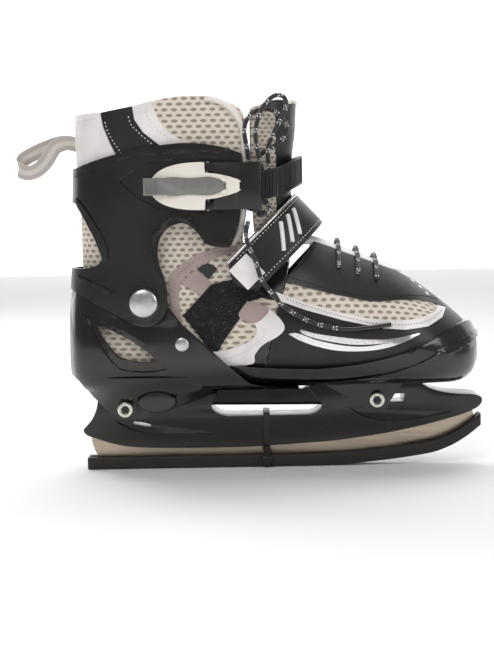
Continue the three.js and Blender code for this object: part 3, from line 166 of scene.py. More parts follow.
def combine(obj, other, how="DIFFERENCE", keep=False):
    modify(obj, "BOOLEAN", operation=how, object=other, solver="EXACT")
    if not keep:
        bpy.data.objects.remove(other)
    return obj


def cut(obj, other, keep=False):
    return combine(obj, other, "DIFFERENCE", keep)


def within(obj, other, keep=False):
    return combine(obj, other, "INTERSECT", keep)


def join_on(obj, other, keep=False):
    return combine(obj, other, "UNION", keep)


def copy(obj, name):
    new = obj.copy()
    new.data = obj.data.copy()
    new.name = name
    SCENE.collection.objects.link(new)
    return new


def drop(*objs):
    for o in objs:
        bpy.data.objects.remove(o)


def curve_points(points, step=2.0):
    """A smooth line through points, evenly spaced."""
    p = np.array(points, float)
    p = np.vstack([2 * p[0] - p[1], p, 2 * p[-1] - p[-2]])
    out = []
    for i in range(1, len(p) - 2):
        n = max(2, int(np.linalg.norm(p[i + 1] - p[i]) / step * 2))
        for t in np.linspace(0, 1, n, endpoint=False):
            a, b, c, d = p[i - 1], p[i], p[i + 1], p[i + 2]
            out.append(
                0.5 * (2 * b + (c - a) * t + (2 * a - 5 * b + 4 * c - d) * t * t + (3 * b - a - 3 * c + d) * t**3)
            )
    out.append(p[-2])
    out = np.array(out)
    run = np.concatenate([[0], np.cumsum(np.linalg.norm(np.diff(out, axis=0), axis=1))])
    at = np.linspace(0, run[-1], max(3, int(run[-1] / step) + 1))
    return np.stack([np.interp(at, run, out[:, k]) for k in range(out.shape[1])], axis=1)


def outline(start, *parts):
    """A side-view outline: a part of two numbers is a line's end, of four a bent line's handle and end."""
    points = [start]
    for part in parts:
        if len(part) == 2:
            points.append(part)
            continue
        a, h, b = np.array(points[-1], float), np.array(part[:2], float), np.array(part[2:], float)
        for t in np.linspace(0, 1, 13)[1:]:
            points.append(tuple((1 - t) ** 2 * a + 2 * t * (1 - t) * h + t * t * b))
    return points


def arc(cx, cz, r, start, end, steps=24):
    return [
        (cx + r * math.cos(math.radians(a)), cz + r * math.sin(math.radians(a)))
        for a in np.linspace(start, end, steps)
    ]


def smooth_loop(points, step=1.5):
    p = list(points)
    ring = curve_points(p + p[:1], step)[:-1]
    return [tuple(q) for q in ring]


def tube(name, points, radius, step=1.2, sides=12, flat=1.0):
    """A round strip along a line, with a map of its length and its way round."""
    line = curve_points(points, step)
    tangent = np.gradient(line, axis=0)
    tangent /= np.linalg.norm(tangent, axis=1)[:, None]
    side = np.cross(tangent[0], (0, 0, 1) if abs(tangent[0][2]) < 0.8 else (0, 1, 0))
    rings = []
    for p, t in zip(line, tangent):
        side = side - t * np.dot(side, t)
        side /= np.linalg.norm(side)
        up = np.cross(t, side)
        a = np.linspace(0, 2 * math.pi, sides, endpoint=False)[:, None]
        rings.append(p + radius * (np.cos(a) * side * flat + np.sin(a) * up))
    bpy.ops.mesh.primitive_grid_add(x_subdivisions=sides, y_subdivisions=len(rings) - 1)
    obj = bpy.context.object
    obj.name = name
    rings = np.array(rings)
    move(obj, np.concatenate([rings, rings[:, :1]], axis=1).reshape(-1, 3))
    run = np.concatenate([[0], np.cumsum(np.linalg.norm(np.diff(line, axis=0), axis=1))])
    uv = obj.data.uv_layers.active or obj.data.uv_layers.new(name="map")
    for loop in obj.data.loops:
        row, column = divmod(loop.vertex_index, sides + 1)
        uv.data[loop.index].uv = (run[row] * MM, column / sides)
    edit(
        obj,
        (bpy.ops.mesh.remove_doubles, {"threshold": 1e-6}),
        (bpy.ops.mesh.select_all, {"action": "DESELECT"}),
        (bpy.ops.mesh.select_non_manifold, {}),
        (bpy.ops.mesh.edge_face_add, {}),
        (bpy.ops.mesh.select_all, {"action": "SELECT"}),
        (bpy.ops.mesh.normals_make_consistent, {"inside": False}),
    )
    obj.data.polygons.foreach_set("use_smooth", [len(p.vertices) == 4 for p in obj.data.polygons])
    return obj, line


# ------------------------------------------------------------------ materials
class Val:
    """A socket that can be used in arithmetic."""

    def __init__(self, make, socket):
        self.make, self.socket = make, socket

    def _op(self, kind, a, b=None):
        return self.make.math(kind, a, b)

    def __add__(self, b):
        return self._op("ADD", self, b)

    __radd__ = __add__

    def __sub__(self, b):
        return self._op("SUBTRACT", self, b)

    def __rsub__(self, b):
        return self._op("SUBTRACT", b, self)

    def __mul__(self, b):
        return self._op("MULTIPLY", self, b)

    __rmul__ = __mul__

    def __truediv__(self, b):
        return self._op("DIVIDE", self, b)

    def __lt__(self, b):
        return self._op("LESS_THAN", self, b)

    def __gt__(self, b):
        return self._op("GREATER_THAN", self, b)


class Make:
    """Builds one material's nodes."""

    def __init__(self, name, color=(0.5, 0.5, 0.5), rough=0.5, metal=0.0, coat=0.0, coat_rough=0.1,
        sheen=0.0):
        self.mat = bpy.data.materials.new(name)
        self.mat.use_nodes = True
        self.tree = self.mat.node_tree
        self.shader = self.tree.nodes["Principled BSDF"]
        self.mat.diffuse_color = (*color, 1)
        for key, value in {
            "Base Color": (*color, 1),
            "Roughness": rough,
            "Metallic": metal,
            "Coat Weight": coat,
            "Coat Roughness": coat_rough,
            "Sheen Weight": sheen,
        }.items():
            self.shader.inputs[key].default_value = value

    def node(self, kind, settings=(), inputs=(), out=0):
        n = self.tree.nodes.new(kind)
        for key, value in dict(settings).items():
            setattr(n, key, value)
        for key, value in dict(inputs).items():
            if isinstance(value, Val):
                self.tree.links.new(value.socket, n.inputs[key])
            else:
                n.inputs[key].default_value = value
        return Val(self, n.outputs[out])

    def math(self, kind, a, b=None):
        inputs = {0: a} if b is None else {0: a, 1: b}
        return self.node("ShaderNodeMath", {"operation": kind}, inputs)

    def coords(self, which="Object", scale=(1, 1, 1)):
        co = self.node("ShaderNodeTexCoord", out=which)
        return self.node("ShaderNodeMapping", {}, {"Vector": co, "Scale": scale})

    def split(self, vector):
        n = self.tree.nodes.new("ShaderNodeSeparateXYZ")
        self.tree.links.new(vector.socket, n.inputs[0])
        return [Val(self, n.outputs[k]) for k in range(3)]

    def noise(self, scale, detail=2.0, vector=None, rough=0.5):
        inputs = {"Scale": scale, "Detail": detail, "Roughness": rough, "Vector": vector or self.coords()}
        return self.node("ShaderNodeTexNoise", {}, inputs)

    def mix(self, factor, a, b):
        a = a if isinstance(a, Val) else (*a, 1)[:4]
        b = b if isinstance(b, Val) else (*b, 1)[:4]
        return self.node("ShaderNodeMix", {"data_type": "RGBA"}, {0: factor, 6: a, 7: b}, out=2)

    def span(self, value, low, high, to_low=0.0, to_high=1.0):
        inputs = {"Value": value, "From Min": low, "From Max": high, "To Min": to_low, "To Max": to_high}
        return self.node("ShaderNodeMapRange", {"interpolation_type": "SMOOTHSTEP"}, inputs)

    def into(self, key, value):
        self.tree.links.new(value.socket, self.shader.inputs[key])
        return self

    def bump(self, height, strength=0.3, distance=0.0005):
        n = self.node("ShaderNodeBump", {}, {"Height": height, "Strength": strength, "Distance": distance})
        return self.into("Normal", n)


def plastic(name, color, rough, coat=0.0, grain=900, depth=0.05, patch=0.08):
    m = Make(name, color, rough, coat=coat, coat_rough=0.12)
    fine = m.noise(grain, 3)
    broad = m.noise(28, 3)
    m.into("Roughness", m.span(broad, 0.3, 0.7, max(rough - patch, 0.03), rough + patch))
    return m.bump(fine, depth, 0.0002).mat


def leather(name, color, rough=0.45, coat=0.15, depth=0.35):
    m = Make(name, color, rough, coat=coat, coat_rough=0.25)
    cells = m.node("ShaderNodeTexVoronoi", {"feature": "DISTANCE_TO_EDGE"},
        {"Scale": 900.0, "Vector": m.coords()})
    creases = m.noise(55, 4)
    m.into("Base Color", m.mix(m.span(creases, 0.35, 0.7), color, tuple(c * 0.86 for c in color)))
    m.into("Roughness", m.span(creases, 0.3, 0.7, rough - 0.07, rough + 0.1))
    return m.bump(m.math("MULTIPLY", m.span(cells, 0, 0.05), 0.6) + creases * 0.6, depth, 0.0003).mat


def mesh_fabric(name, color, hole_shade, wide=6.2, high=3.7):
    """Open spacer mesh: staggered oval holes between rounded yarns, with painted shade inside the holes that is
    darkest at their middle.
    """
    m = Make(name, color, 0.9, sheen=0.15)
    u, v, _ = m.split(m.node("ShaderNodeTexCoord", out="UV"))
    wander = m.noise(45, 2)
    u = u * (1000 / wide) + wander * 0.25
    v = v * (1000 / high)
    row = m.math("FLOOR", v)
    shift = m.math("MODULO", row, 2.0) * 0.5
    a = m.math("FRACT", u + shift) - 0.5
    b = m.math("FRACT", v) - 0.5
    reach = m.math("SQRT", a * a * 5.2 + b * b * 6.8)
    open_ = m.span(reach, 0.62, 0.86, 1.0, 0.0)
    yarn = m.noise(2600, 2)
    tone = m.mix(m.span(yarn, 0.3, 0.7), tuple(c * 0.86 for c in color), color)
    # Painted shade in the holes: each hole's colour is darkest at its middle and lighter towards its rim.
    hole_depth_shade = m.span(reach, 0.0, 0.9, 0.0, 1.0)
    m.into("Base Color", m.mix(open_, tone, m.mix(hole_depth_shade, tuple(c * 0.75 for c in hole_shade), hole_shade)))
    return m.bump(m.math("SUBTRACT", 1.0, open_) + yarn * 0.18, 0.7, 0.0009).mat


def metal(name, color, rough, along=(1, 1, 1), depth=0.08):
    m = Make(name, color, rough, metal=1.0)
    lines = m.noise(1.0, 4, vector=m.coords(scale=tuple(700 * a for a in along)))
    m.into("Roughness", m.span(lines, 0.25, 0.75, max(rough - 0.1, 0.05), rough + 0.12))
    return m.bump(lines, depth, 0.0002).mat


def braided(name):
    """Black braid with pairs of pale flecks every 10 mm."""
    m = Make(name, (0.012, 0.012, 0.013), 0.55, sheen=0.2)
    run, way, _ = m.split(m.node("ShaderNodeTexCoord", out="UV"))
    step = m.math("FRACT", run * 98.0)
    one = m.math("SINE", run * 3600.0 + way * 12.566)
    two = m.math("SINE", run * 3600.0 - way * 12.566)
    weave = m.math("MAXIMUM", one, two)
    there = (step < 0.34) * m.math("GREATER_THAN", m.math("SINE", way * 25.13 + run * 1300.0), -0.35)
    gap = m.math("SUBTRACT", 1.0, (step > 0.15) * (step < 0.19))
    fleck = there * gap * m.math("GREATER_THAN", weave, 0.1)
    # Painted shade and highlight: the braid's colour follows the weave's height, darker in the grooves between
    # the yarns and lighter on their crests. The pale flecks are the braid's own pattern.
    m.into("Base Color", m.mix(fleck, m.mix(m.span(weave, -1, 1), (0.006, 0.006, 0.006),
        (0.05, 0.05, 0.052)), (0.86, 0.84, 0.8)))
    return m.bump(weave, 0.9, 0.0005).mat


def hook(name):
    m = Make(name, (0.006, 0.006, 0.007), 0.85)
    grit = m.noise(1500, 2)
    # Painted highlights: pale grey specks on the black tape stand for glints on the hooks.
    painted_glint = m.math("GREATER_THAN", m.noise(2300, 1), 0.71)
    m.into("Base Color", m.mix(painted_glint, (0.006, 0.006, 0.007), (0.35, 0.35, 0.38)))
    return m.bump(grit, 1.0, 0.0008).mat


def woven(name, color, other):
    """Narrow ribbon with fine crosswise ribs and a striped middle."""
    m = Make(name, color, 0.5, sheen=0.3)
    u, v, _ = m.split(m.node("ShaderNodeTexCoord", out="UV"))
    stripes = m.math("SINE", v * 5200.0)
    ribs = m.math("SINE", u * 9000.0)
    far = m.math("ABSOLUTE", v)
    middle = m.span(far, 0.0014, 0.0019, 1.0, 0.0)
    rim = m.span(far, 0.0044, 0.0048)
    tone = m.mix(m.math("MAXIMUM", middle, rim), color, other)
    m.into("Base Color", m.mix(m.span(stripes, -1, 1) * 0.25, tone, tuple(c * 0.8 for c in color)))
    return m.bump(ribs + stripes * 0.5, 0.4, 0.0003).mat


MAT = {
    "cuff": plastic("cuff_black", (0.007, 0.0062, 0.006), 0.34, coat=0.2, depth=0.09),
    "shell": plastic("shell_black", (0.007, 0.006, 0.005), 0.2, coat=0.45),
    "holder": plastic("holder_black", (0.007, 0.0065, 0.006), 0.27, coat=0.25, depth=0.08),
    "guard": plastic("guard_black", (0.014, 0.012, 0.012), 0.5, depth=0.12),
    "tie": plastic("tie_black", (0.008, 0.008, 0.008), 0.4),
    "ivory": plastic("ivory_plastic", (0.88, 0.83, 0.75), 0.24, coat=0.2, patch=0.05),
    "grey": plastic("lever_grey", (0.21, 0.2, 0.19), 0.22, coat=0.6),
    "dark": plastic("strap_black", (0.006, 0.006, 0.0065), 0.38, coat=0.1),
    # The third colour of each mesh is the painted shade seen inside its holes.
    "mesh": mesh_fabric("cream_mesh", (0.84, 0.76, 0.66), (0.42, 0.34, 0.27)),
    "fine_mesh": mesh_fabric("fine_mesh", (0.84, 0.76, 0.66), (0.45, 0.37, 0.3), 4.4, 2.8),
    "black": leather("black_leather", (0.006, 0.006, 0.0065), 0.4),
    "gloss": leather("black_gloss", (0.006, 0.006, 0.0065), 0.2, 0.5, 0.12),
    "white": leather("white_leather", (0.93, 0.89, 0.88), 0.42, 0.1, 0.2),
    "mauve": leather("mauve_leather", (0.44, 0.34, 0.32), 0.5, 0.05, 0.3),
    "piping": leather("piping_cream", (0.90, 0.86, 0.80), 0.5, 0.1, 0.25),
    "silver": metal("silver_trim", (0.72, 0.70, 0.69), 0.2),
    "chrome": metal("chrome_trim", (0.85, 0.83, 0.82), 0.1, depth=0.02),
    "steel": metal("blade_steel", (0.50, 0.42, 0.33), 0.34, along=(0.04, 1, 1)),
    "zinc": metal("zinc", (0.70, 0.70, 0.60), 0.25),
    "satin": metal("satin_nickel", (0.62, 0.60, 0.585), 0.3, along=(0.2, 0.2, 0.2)),
    # A dark metal painted as the shade inside the bolts' hex sockets.
    "socket": metal("socket_painted_shade", (0.07, 0.065, 0.06), 0.5),
    "lace": braided("braided_lace"),
    "hook": hook("hook_tape"),
    "ribbon": woven("ribbon", (0.55, 0.49, 0.47), (0.76, 0.71, 0.64)),
    "thread": leather("pale_thread", (0.72, 0.68, 0.64), 0.7, 0.0, 0.1),
    "dark_thread": leather("dark_thread", (0.004, 0.004, 0.004), 0.7, 0.0, 0.1),
    "lining": leather("lining", (0.05, 0.047, 0.045), 0.8, 0.0, 0.3),
    "aglet": plastic("aglet", (0.02, 0.02, 0.02), 0.15, coat=0.5),
}


def dress(obj, material, angle=35, bevel=0.0, segments=2):
    """Rounds the edges, shades and paints a finished piece."""
    if bevel:
        modify(obj, "BEVEL", width=bevel * MM, segments=segments, limit_method="ANGLE",
            angle_limit=math.radians(32),
               harden_normals=False)
    pick(obj)
    bpy.ops.object.shade_smooth_by_angle(angle=math.radians(angle))
    obj.data.materials.clear()
    obj.data.materials.append(MAT[material])
    return obj


# ------------------------------------------------------------------ free cords: the bow and the loose end
BOW_REAR = [(-20.5, -36.4, 189.5), (-20.5, -37, 205), (-22.5, -38.6, 220), (-24, -38.8, 233),
    (-20, -38, 242), (-11, -36, 246), (-2, -35, 243), (4, -34, 235),
            (3, -34, 228), (-5, -34.6, 221), (-13, -35.4, 216), (-16, -35.8, 205), (-16, -35.6, 189.5)]
BOW_FRONT = [(-12, -39.4, 189.5), (-12.4, -40.2, 204), (-15.5, -40.8, 218), (-16.5, -40.8, 232),
    (-12, -40.4, 246), (-4, -39.8, 254), (3, -39.2, 252.5),
             (3, -39.2, 244), (-3, -39.6, 233), (-8.5, -39.6, 220), (-8, -37.6, 204), (-8, -36.6, 189.5)]
TAIL = [(-22.5, -39.5, 171.5), (-24, -44, 165), (-23, -48.6, 157), (-18.5, -50.2, 146.5),
    (-14.5, -50.6, 134), (-8, -50.4, 124.5), (0, -48, 115.6),
        (10, -46.5, 108.6), (20, -46.8, 104), (30, -47.6, 101.3), (42, -48.6, 99.5), (55, -49, 100.2),
        (71, -47.5, 102.2)]
for name, points, node, far in (
    ("bow_rear", BOW_REAR, "lace_bow_rear", "object"),
    ("bow_front", BOW_FRONT, "lace_bow_front", "object"),
    ("lace_tail", TAIL, "lace_tail_lateral", "bare"),
):
    cord, line = tube(name, points, 1.55)
    dress(cord, "lace", angle=80)
    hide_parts(node)
    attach(cord, "cuff_body")
    if node == "lace_tail_lateral":
        cord.data.materials.append(MAT["aglet"])
        for face in cord.data.polygons:
            if face.center.x > 0.038:
                face.material_index = 1


# ------------------------------------------------------------------ forms of the foot, the leg and the cuff
F, HEEL_X, TOE_X, BASE = 46.5, -139, 131, 62
FOOT = np.array([
    [HEEL_X, 0.26 * F, BASE + 10, 118, 0],
    [HEEL_X + 5, 0.5 * F, BASE + 3, 135, 0],
    [HEEL_X + 14, 0.63 * F, BASE, 140, 0],
    [HEEL_X + 30, 0.7 * F, BASE, 145, 0],
    [-60, 0.76 * F, BASE, 150, 0],
    [-25, 0.83 * F, BASE, 158, 2],
    [15, 0.925 * F, BASE, 164, 4],
    [45, F, BASE, 152.5, 5],
    [78, 0.97 * F, BASE, 138, 5],
    [102, 0.82 * F, BASE, 121, 4],
    [TOE_X - 13, 0.58 * F, BASE + 1, 108, 3],
    [TOE_X - 4, 0.33 * F, BASE + 6, 99, 2],
    [TOE_X, 0.12 * F, BASE + 13, 91, 1],
])
A, C = 34, 40
LEG = np.array([
    [78, HEEL_X, 20, 0.95 * A],
    [100, HEEL_X - 1.6, 24, A],
    [119, HEEL_X - 1, 26, A],
    [136, HEEL_X + 1, 28, A],
    [152, HEEL_X + 1, 22, 1.02 * A],
    [168, HEEL_X + 1, 13, 0.92 * C],
    [188, HEEL_X + 0.6, 8, 0.955 * C],
    [210, HEEL_X, 8, 0.97 * C],
    [235, HEEL_X - 1, 11, C],
    [256, HEEL_X, 12, 0.97 * C],
])
CUFF = np.array([
    [98, -148, 36, 44.6],
    [120, -147, 36, 44.6],
    [142, -145.5, 34, 44.2],
    [165, -144.5, 24, 43.8],
    [188, -143.7, 16, 43.8],
    [208, -142.8, 14, 44.2],
    [228, -143.5, 14, 44.6],
])
SKIRT = np.array([
    [34, -131, -70, 17.5],
    [45, -134, -58, 19],
    [53, -138, -44, 25.5],
    [60, -142, -30, 33.5],
    [68, -146, -20, 39.5],
])


def between(table, at):
    """A table's row at any station, on smooth curves."""
    key = table[:, 0]
    i = int(np.clip(np.searchsorted(key, at, "right") - 1, 0, len(key) - 2))

    def slope(j):
        a, b = table[max(j - 1, 0)], table[min(j + 1, len(key) - 1)]
        return (b - a) / (b[0] - a[0])

    span = key[i + 1] - key[i]
    t = min(max((at - key[i]) / span, 0), 1)
    return (
        table[i] * (2 * t**3 - 3 * t**2 + 1)
        + table[i + 1] * (3 * t**2 - 2 * t**3)
        + slope(i) * span * (t**3 - 2 * t**2 + t)
        + slope(i + 1) * span * (t**3 - t**2)
    )


def power(v, p):
    return np.sign(v) * np.abs(v) ** p


def stations(table, step):
    out = []
    for a, b in zip(table[:-1, 0], table[1:, 0]):
        out += list(np.linspace(a, b, max(2, int(round((b - a) / step)) + 1))[:-1])
    return out + [table[-1, 0]]


def foot_form(name, grow, step=4.0, around=112):
    rings = []
    for x in stations(FOOT, step):
        _, half, base, top, lean = between(FOOT, x)
        half, base, top = half + grow, base - grow, top + grow
        wide = base + 0.34 * (top - base)
        a = np.linspace(0, 2 * math.pi, around, endpoint=False)
        c, s = np.cos(a), np.sin(a)
        y = np.where(s > 0, power(c, 1.02) * half + lean * s * s, power(c, 0.66) * half)
        z = np.where(s > 0, wide + (top - wide) * power(s, 1.06), wide + (wide - base) * power(s, 0.62))
        middle = (HEEL_X + TOE_X) / 2
        stretch = 1 + 2 * grow / (TOE_X - HEEL_X)
        rings.append(np.stack([np.full(around, middle + (x - middle) * stretch), y, z], axis=1))
    return wrapped(name, rings)


def plan_form(name, table, grow, rise=0, squareness=2.5, step=4.0, around=128):
    rings = []
    rows = [between(table, z) for z in stations(table, step)]
    if rise:
        last = rows[-1].copy()
        last[0] += rise
        rows.append(last)
    for z, rear, front, half in rows:
        a = np.linspace(0, 2 * math.pi, around, endpoint=False)
        rear, front, half = rear - grow, front + grow, half + grow
        x = (rear + front) / 2 + power(np.cos(a), 2 / squareness) * (front - rear) / 2
        y = power(np.sin(a), 2 / squareness) * half
        rings.append(np.stack([x, y, np.full(around, z)], axis=1))
    return wrapped(name, rings)


def leg_form(name, grow, rise=0):
    return plan_form(name, LEG, grow, rise)


def cuff_form(name, grow):
    return plan_form(name, CUFF, grow, 0, 2.6)


def boot_form(name, grow, rise=0):
    return join_on(foot_form(name, grow), leg_form("leg", grow, rise))


# ------------------------------------------------------------------ guard, blade and holder
def ground(x):
    return 0.0009 * max(x - 10, 0) ** 2 + 0.0085 * max(x - 100, 0) ** 2


def ground_bar(name, low_x, high_x, half, low, high, step=5):
    rings = []
    for x in np.linspace(low_x, high_x, int((high_x - low_x) / step) + 1):
        a, b = ground(x) + low, ground(x) + high
        rings.append([(x, -half, a), (x, half, a), (x, half, b), (x, -half, b)])
    return wrapped(name, rings)


EDGE = [(-122, 18.7), (-108, 15.8), (-83, 14.5), (-31, 14.3), (4, 15.8), (39, 18.2), (74, 23), (102, 28.9),
        (123, 34.8), (132, 38.6)]
EDGE = [tuple(p) for p in curve_points(EDGE, 4)]


def blade_outline(grow=0.0):
    low = 3.2 - grow
    bottom = [(x, ground(x) + low + (0.6 if x > 110 else 0)) for x in (-20, 10, 20, 35, 50, 65, 80, 92,
        102, 110, 117, 122, 126)]
    top = [(x, z + 9 + grow) for x, z in reversed(EDGE) if -118 < x < 128]
    rear = outline((-131 - grow, 33 + grow), (-135.5 - grow, 22), (-134 - grow, 10, -126, 3.2 - grow))
    nose = outline(bottom[-1], (133.4 + grow, 26, 133.4 + grow, 35), (130 + grow, 45 + grow))
    return rear + bottom + nose[1:] + top


guard = ground_bar("blade_guard_piece", -138, 138, 6.6, 0, 8.4)
cut(guard, ground_bar("channel", -135.8, 135.8, 2.1, 2.6, 17))
cut(guard, box("groove", (-14.8, -9.2), (-9, 9), (-1, 1.7)))
dress(guard, "guard", bevel=0.9, segments=3)
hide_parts("blade_guard")
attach(guard, "chassis")

blade = slab("blade_piece", blade_outline(), -1.5, 1.5)
dress(blade, "steel", bevel=0.25)
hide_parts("blade")
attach(blade, "chassis")

TOP_REAR = BASE - 0.8 - 5.6 - 0.6 - 0.6
TOP_FRONT = BASE - 0.8 - 2.8 - 0.3


def holder_section(x, low, half=13.5):
    turn = [(-6.4, low - 12), (6.4, low - 12), (6.4, low + 3)]
    swell = [(6.4 + (half - 6.4) * (1 - math.cos(t)) / 2,
        low + 3 + 23 * t / math.pi) for t in np.linspace(0, math.pi, 13)[1:]]
    right = turn[1:] + swell + [(half, 70)]
    return [(x, y, z) for y, z in right + [(-y, z) for y, z in reversed(right)]]


holder_shape = outline((-124, TOP_REAR - 1), (-129, 49), (-130, 38, -139, 30),
    (-141.5, 27.2, -137, 24)) + EDGE
holder_shape += outline(EDGE[-1], (138.5, 42, 137.5, 47), (136, 49.6, 128, 50), (104, 50.5, 96, TOP_FRONT),
                        (18, TOP_FRONT - 1), (14, TOP_REAR), (-60, TOP_REAR))[1:]
holder = slab("blade_holder_piece", holder_shape, -20, 20)
within(holder, wrapped("flare", [holder_section(x, low) for x, low in
                                 ((-150, 17), (-108, 14), (-20, 13), (45, 17), (100, 21), (145, 25))]))
cut(holder, slab("slot", blade_outline(0.3), -1.8, 1.8))
cut(holder, slab("window", outline((-50, 43), (-46, 37.2, -36, 37.2), (16, 37.2), (24, 37.2, 27, 44.5),
    (-50, 45.5)), -20, 20))
LENS_REAR = outline((-117, 35), (-105, 24.5, -87, 24.5), (-66, 24.5, -46, 24.8), (-81, 31.5, -117, 35))[:-1]
LENS_FRONT = outline((45, 42), (57, 31.5, 75, 31.5), (97, 31.5, 117, 37.6), (81, 38.5, 45, 42))[:-1]
for low, high in ((-20, -5.5), (5.5, 20)):
    cut(holder, slab("arch", [(-50, 45.6), (27, 44.6), (13, 60), (-44, 60)], low, high))
for low, high in ((-20, -7.5), (7.5, 20)):
    cut(holder, slab("lens", LENS_REAR, low, high))
    cut(holder, slab("lens", LENS_FRONT, low, high))
cut(holder, slab("through", outline((-106, 31.8), (-99, 29.6, -93, 29.4), (-93, 32.4),
    (-99, 34, -104, 34.6)), -20, 20))
cut(holder, disc("bore", -109, 44.4, 3.3, -20, 20))
cut(holder, box("bolt_slot", (64, 84), (-20, 20), (44.6, 51.2)))
cut(holder, box("latch_room", (-92, -82), (-20, 20), (46, 70)))
dress(holder, "holder", bevel=0.8, segments=3)
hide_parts("blade_holder")
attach(holder, "chassis")


def tie_line(half_low, half_high, low, high):
    return [(-half_low, low), (half_low, low), (half_low, 12), (half_high, high), (-half_high, high),
        (-half_low, 12)]


tie = slab("cable_tie_piece", tie_line(8.2, 14.5, 0.2, 38.8), -14.3, -9.7, "X")
cut(tie, slab("inside", tie_line(7.0, 13.3, 1.4, 37.6), -18, -6, "X"))
dress(tie, "tie", bevel=0.4)
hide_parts("cable_tie")
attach(tie, "chassis")
head = box("cable_tie_head", (-15.6, -8.4), (-11.8, -7.9), (2.4, 8.4))
dress(head, "tie", bevel=1.0, segments=3)
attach(head, "chassis")
strip, _ = tube("cable_tie_end", [(-12, -10.0, 8.2), (-12.4, -10.6, 12), (-13.4, -11.4, 15.2)], 1.1,
    flat=1.9)
dress(strip, "tie")
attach(strip, "chassis")


# ------------------------------------------------------------------ rivets and bolts
def turned(name, profile, x, z, side=-1, sides=48):
    """A turned piece about an axis along Y: profile points are (radius, distance outwards)."""
    a = np.linspace(0, 2 * math.pi, sides, endpoint=False)
    rings = [[(x + r * math.cos(t), side * y, z + r * math.sin(t)) for t in a] for r, y in profile]
    return wrapped(name, rings)


def rivet(name, x, z, r, face, side, body, *nodes):
    dome = [(0.02, face - 1)] + [(r, face), (r, face + 0.5)]
    dome += [(r * math.sin(t), face + 0.5 + 2.2 * r / 9.4 * math.cos(t)) for t in np.linspace(1.5, 0.02,
        12)]
    obj = turned(name, dome, x, z, side)
    dress(obj, "satin", angle=50)
    if nodes:
        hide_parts(*nodes)
    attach(obj, body)
    return obj


for side, word in ((-1, "lateral"), (1, "medial")):
    rivet(f"pivot_head_{word}", -93, 118.8, 9.4, 45.1, side, "cuff_body", f"pivot_rivet_{word}")
    rivet(f"small_head_{word}", -68, 90.8, 4.6, 44.0, side, "chassis", f"small_rivet_{word}")


def bolt_head(name, x, z, face, body, *nodes):
    shape = [(0.02, face - 3), (5.6, face), (5.6, face + 2.2), (5.0, face + 3.3), (2.9, face + 3.4),
        (2.7, face + 1.6), (0.02, face + 1.4)]
    obj = turned(name, shape, x, z)
    dress(obj, "zinc", angle=30, bevel=0.2)
    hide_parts(*nodes)
    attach(obj, body)
    # Painted shade: a dark hexagon sheet at the bottom of the head's recess stands for the shaded hex socket.
    hexagon = [(x + 2.6 * math.cos(t), z + 2.6 * math.sin(t)) for t in np.linspace(0, 2 * math.pi, 6,
        endpoint=False)]
    well = slab(name + "_socket", hexagon, -face - 1.9, -face - 1.2)
    dress(well, "socket")
    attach(well, body)
    return obj


bolt_head("rear_bolt_head", -109, 44.4, 21.0, "chassis", "rear_bolt")
bolt_head("front_bolt_head", 64, 47.9, 18.2, "toe", "front_bolt")

# ------------------------------------------------------------------ cuff
PIVOT = (-93, 118.8)
cuff_shape = outline((-156, 209), (-138, 209.6), (-100, 222, -66, 224), (-42, 224, -26, 216.5), (-27, 182),
                     (-28, 166, -35, 155), (-44, 154, -52, 158), (-58, 170, -66, 171.6),
                     (-76, 171, -81, 162),
                     (-85, 152, -81, 141),
                     (-76.4, 130, PIVOT[0] + 16 * math.cos(0.14), PIVOT[1] + 16 * math.sin(0.14)))
cuff_shape += arc(*PIVOT, 16, 8, -114)[1:]
cuff_shape += outline((-156, 133.5), (-156, 141.5), (-141, 141.8), (-124, 141, -121, 148),
    (-124, 162, -140, 186), (-156, 188))
cuff = cuff_form("cuff_piece", 0)
for low, high in ((-45, -40), (40, 45)):
    join_on(cuff, disc("boss", *PIVOT, 10.8, low, high))
cut(cuff, cuff_form("inside", -3))
within(cuff, slab("cuff_side", cuff_shape, -70, 70))
EYE = outline((-107, 199.6), (-98, 211, -78, 213.5), (-60, 215.5, -40, 213), (-32, 208, -30, 196),
    (-32, 183, -40, 178.5),
              (-60, 176, -78, 180), (-98, 187, -107, 199.6))[:-1]
skin = cuff_form("skin", 6)
cut(skin, cuff_form("in", -1.3))
within(skin, slab("eye", EYE, -70, 0))
cut(cuff, skin)


def rim_strip(name, line, width, lift, sides=(-1,)):
    """A raised bead on the cuff, along a side-view line."""
    made = []
    for s in sides:
        band = cuff_form("band", lift)
        cut(band, cuff_form("in", -1))
        p = np.array(curve_points([(a, 0, b) for a, b in line], 2.0))[:, [0, 2]]
        n = np.gradient(p, axis=0)
        n = np.stack([-n[:, 1], n[:, 0]], axis=1) / np.linalg.norm(n, axis=1)[:, None]
        loop = [tuple(q) for q in p + n * width / 2] + [tuple(q) for q in (p - n * width / 2)[::-1]]
        within(band, slab("line", loop, *((-70, 0) if s < 0 else (0, 70))))
        made.append(band)
    return made


for s in (-1, 1):
    for line, width in (
        ([(-141, 204.5), (-120, 211), (-95, 217), (-66, 219.5), (-45, 218.5), (-30, 213)], 2.6),
        ([(-140, 136.4), (-124, 130), (-112, 124.5)], 2.2),
        ([(-118, 148), (-119, 158), (-130, 177), (-140, 189)], 2.4),
        ([(-80, 132), (-86, 144), (-87.5, 157), (-82, 168), (-72, 176), (-62, 174), (-55, 166)], 2.2),
    ):
        join_on(cuff, rim_strip("bead", line, width, 0.8, (s,))[0])
dress(cuff, "cuff", bevel=0.5, segments=2)
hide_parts("cuff")
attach(cuff, "cuff_body")

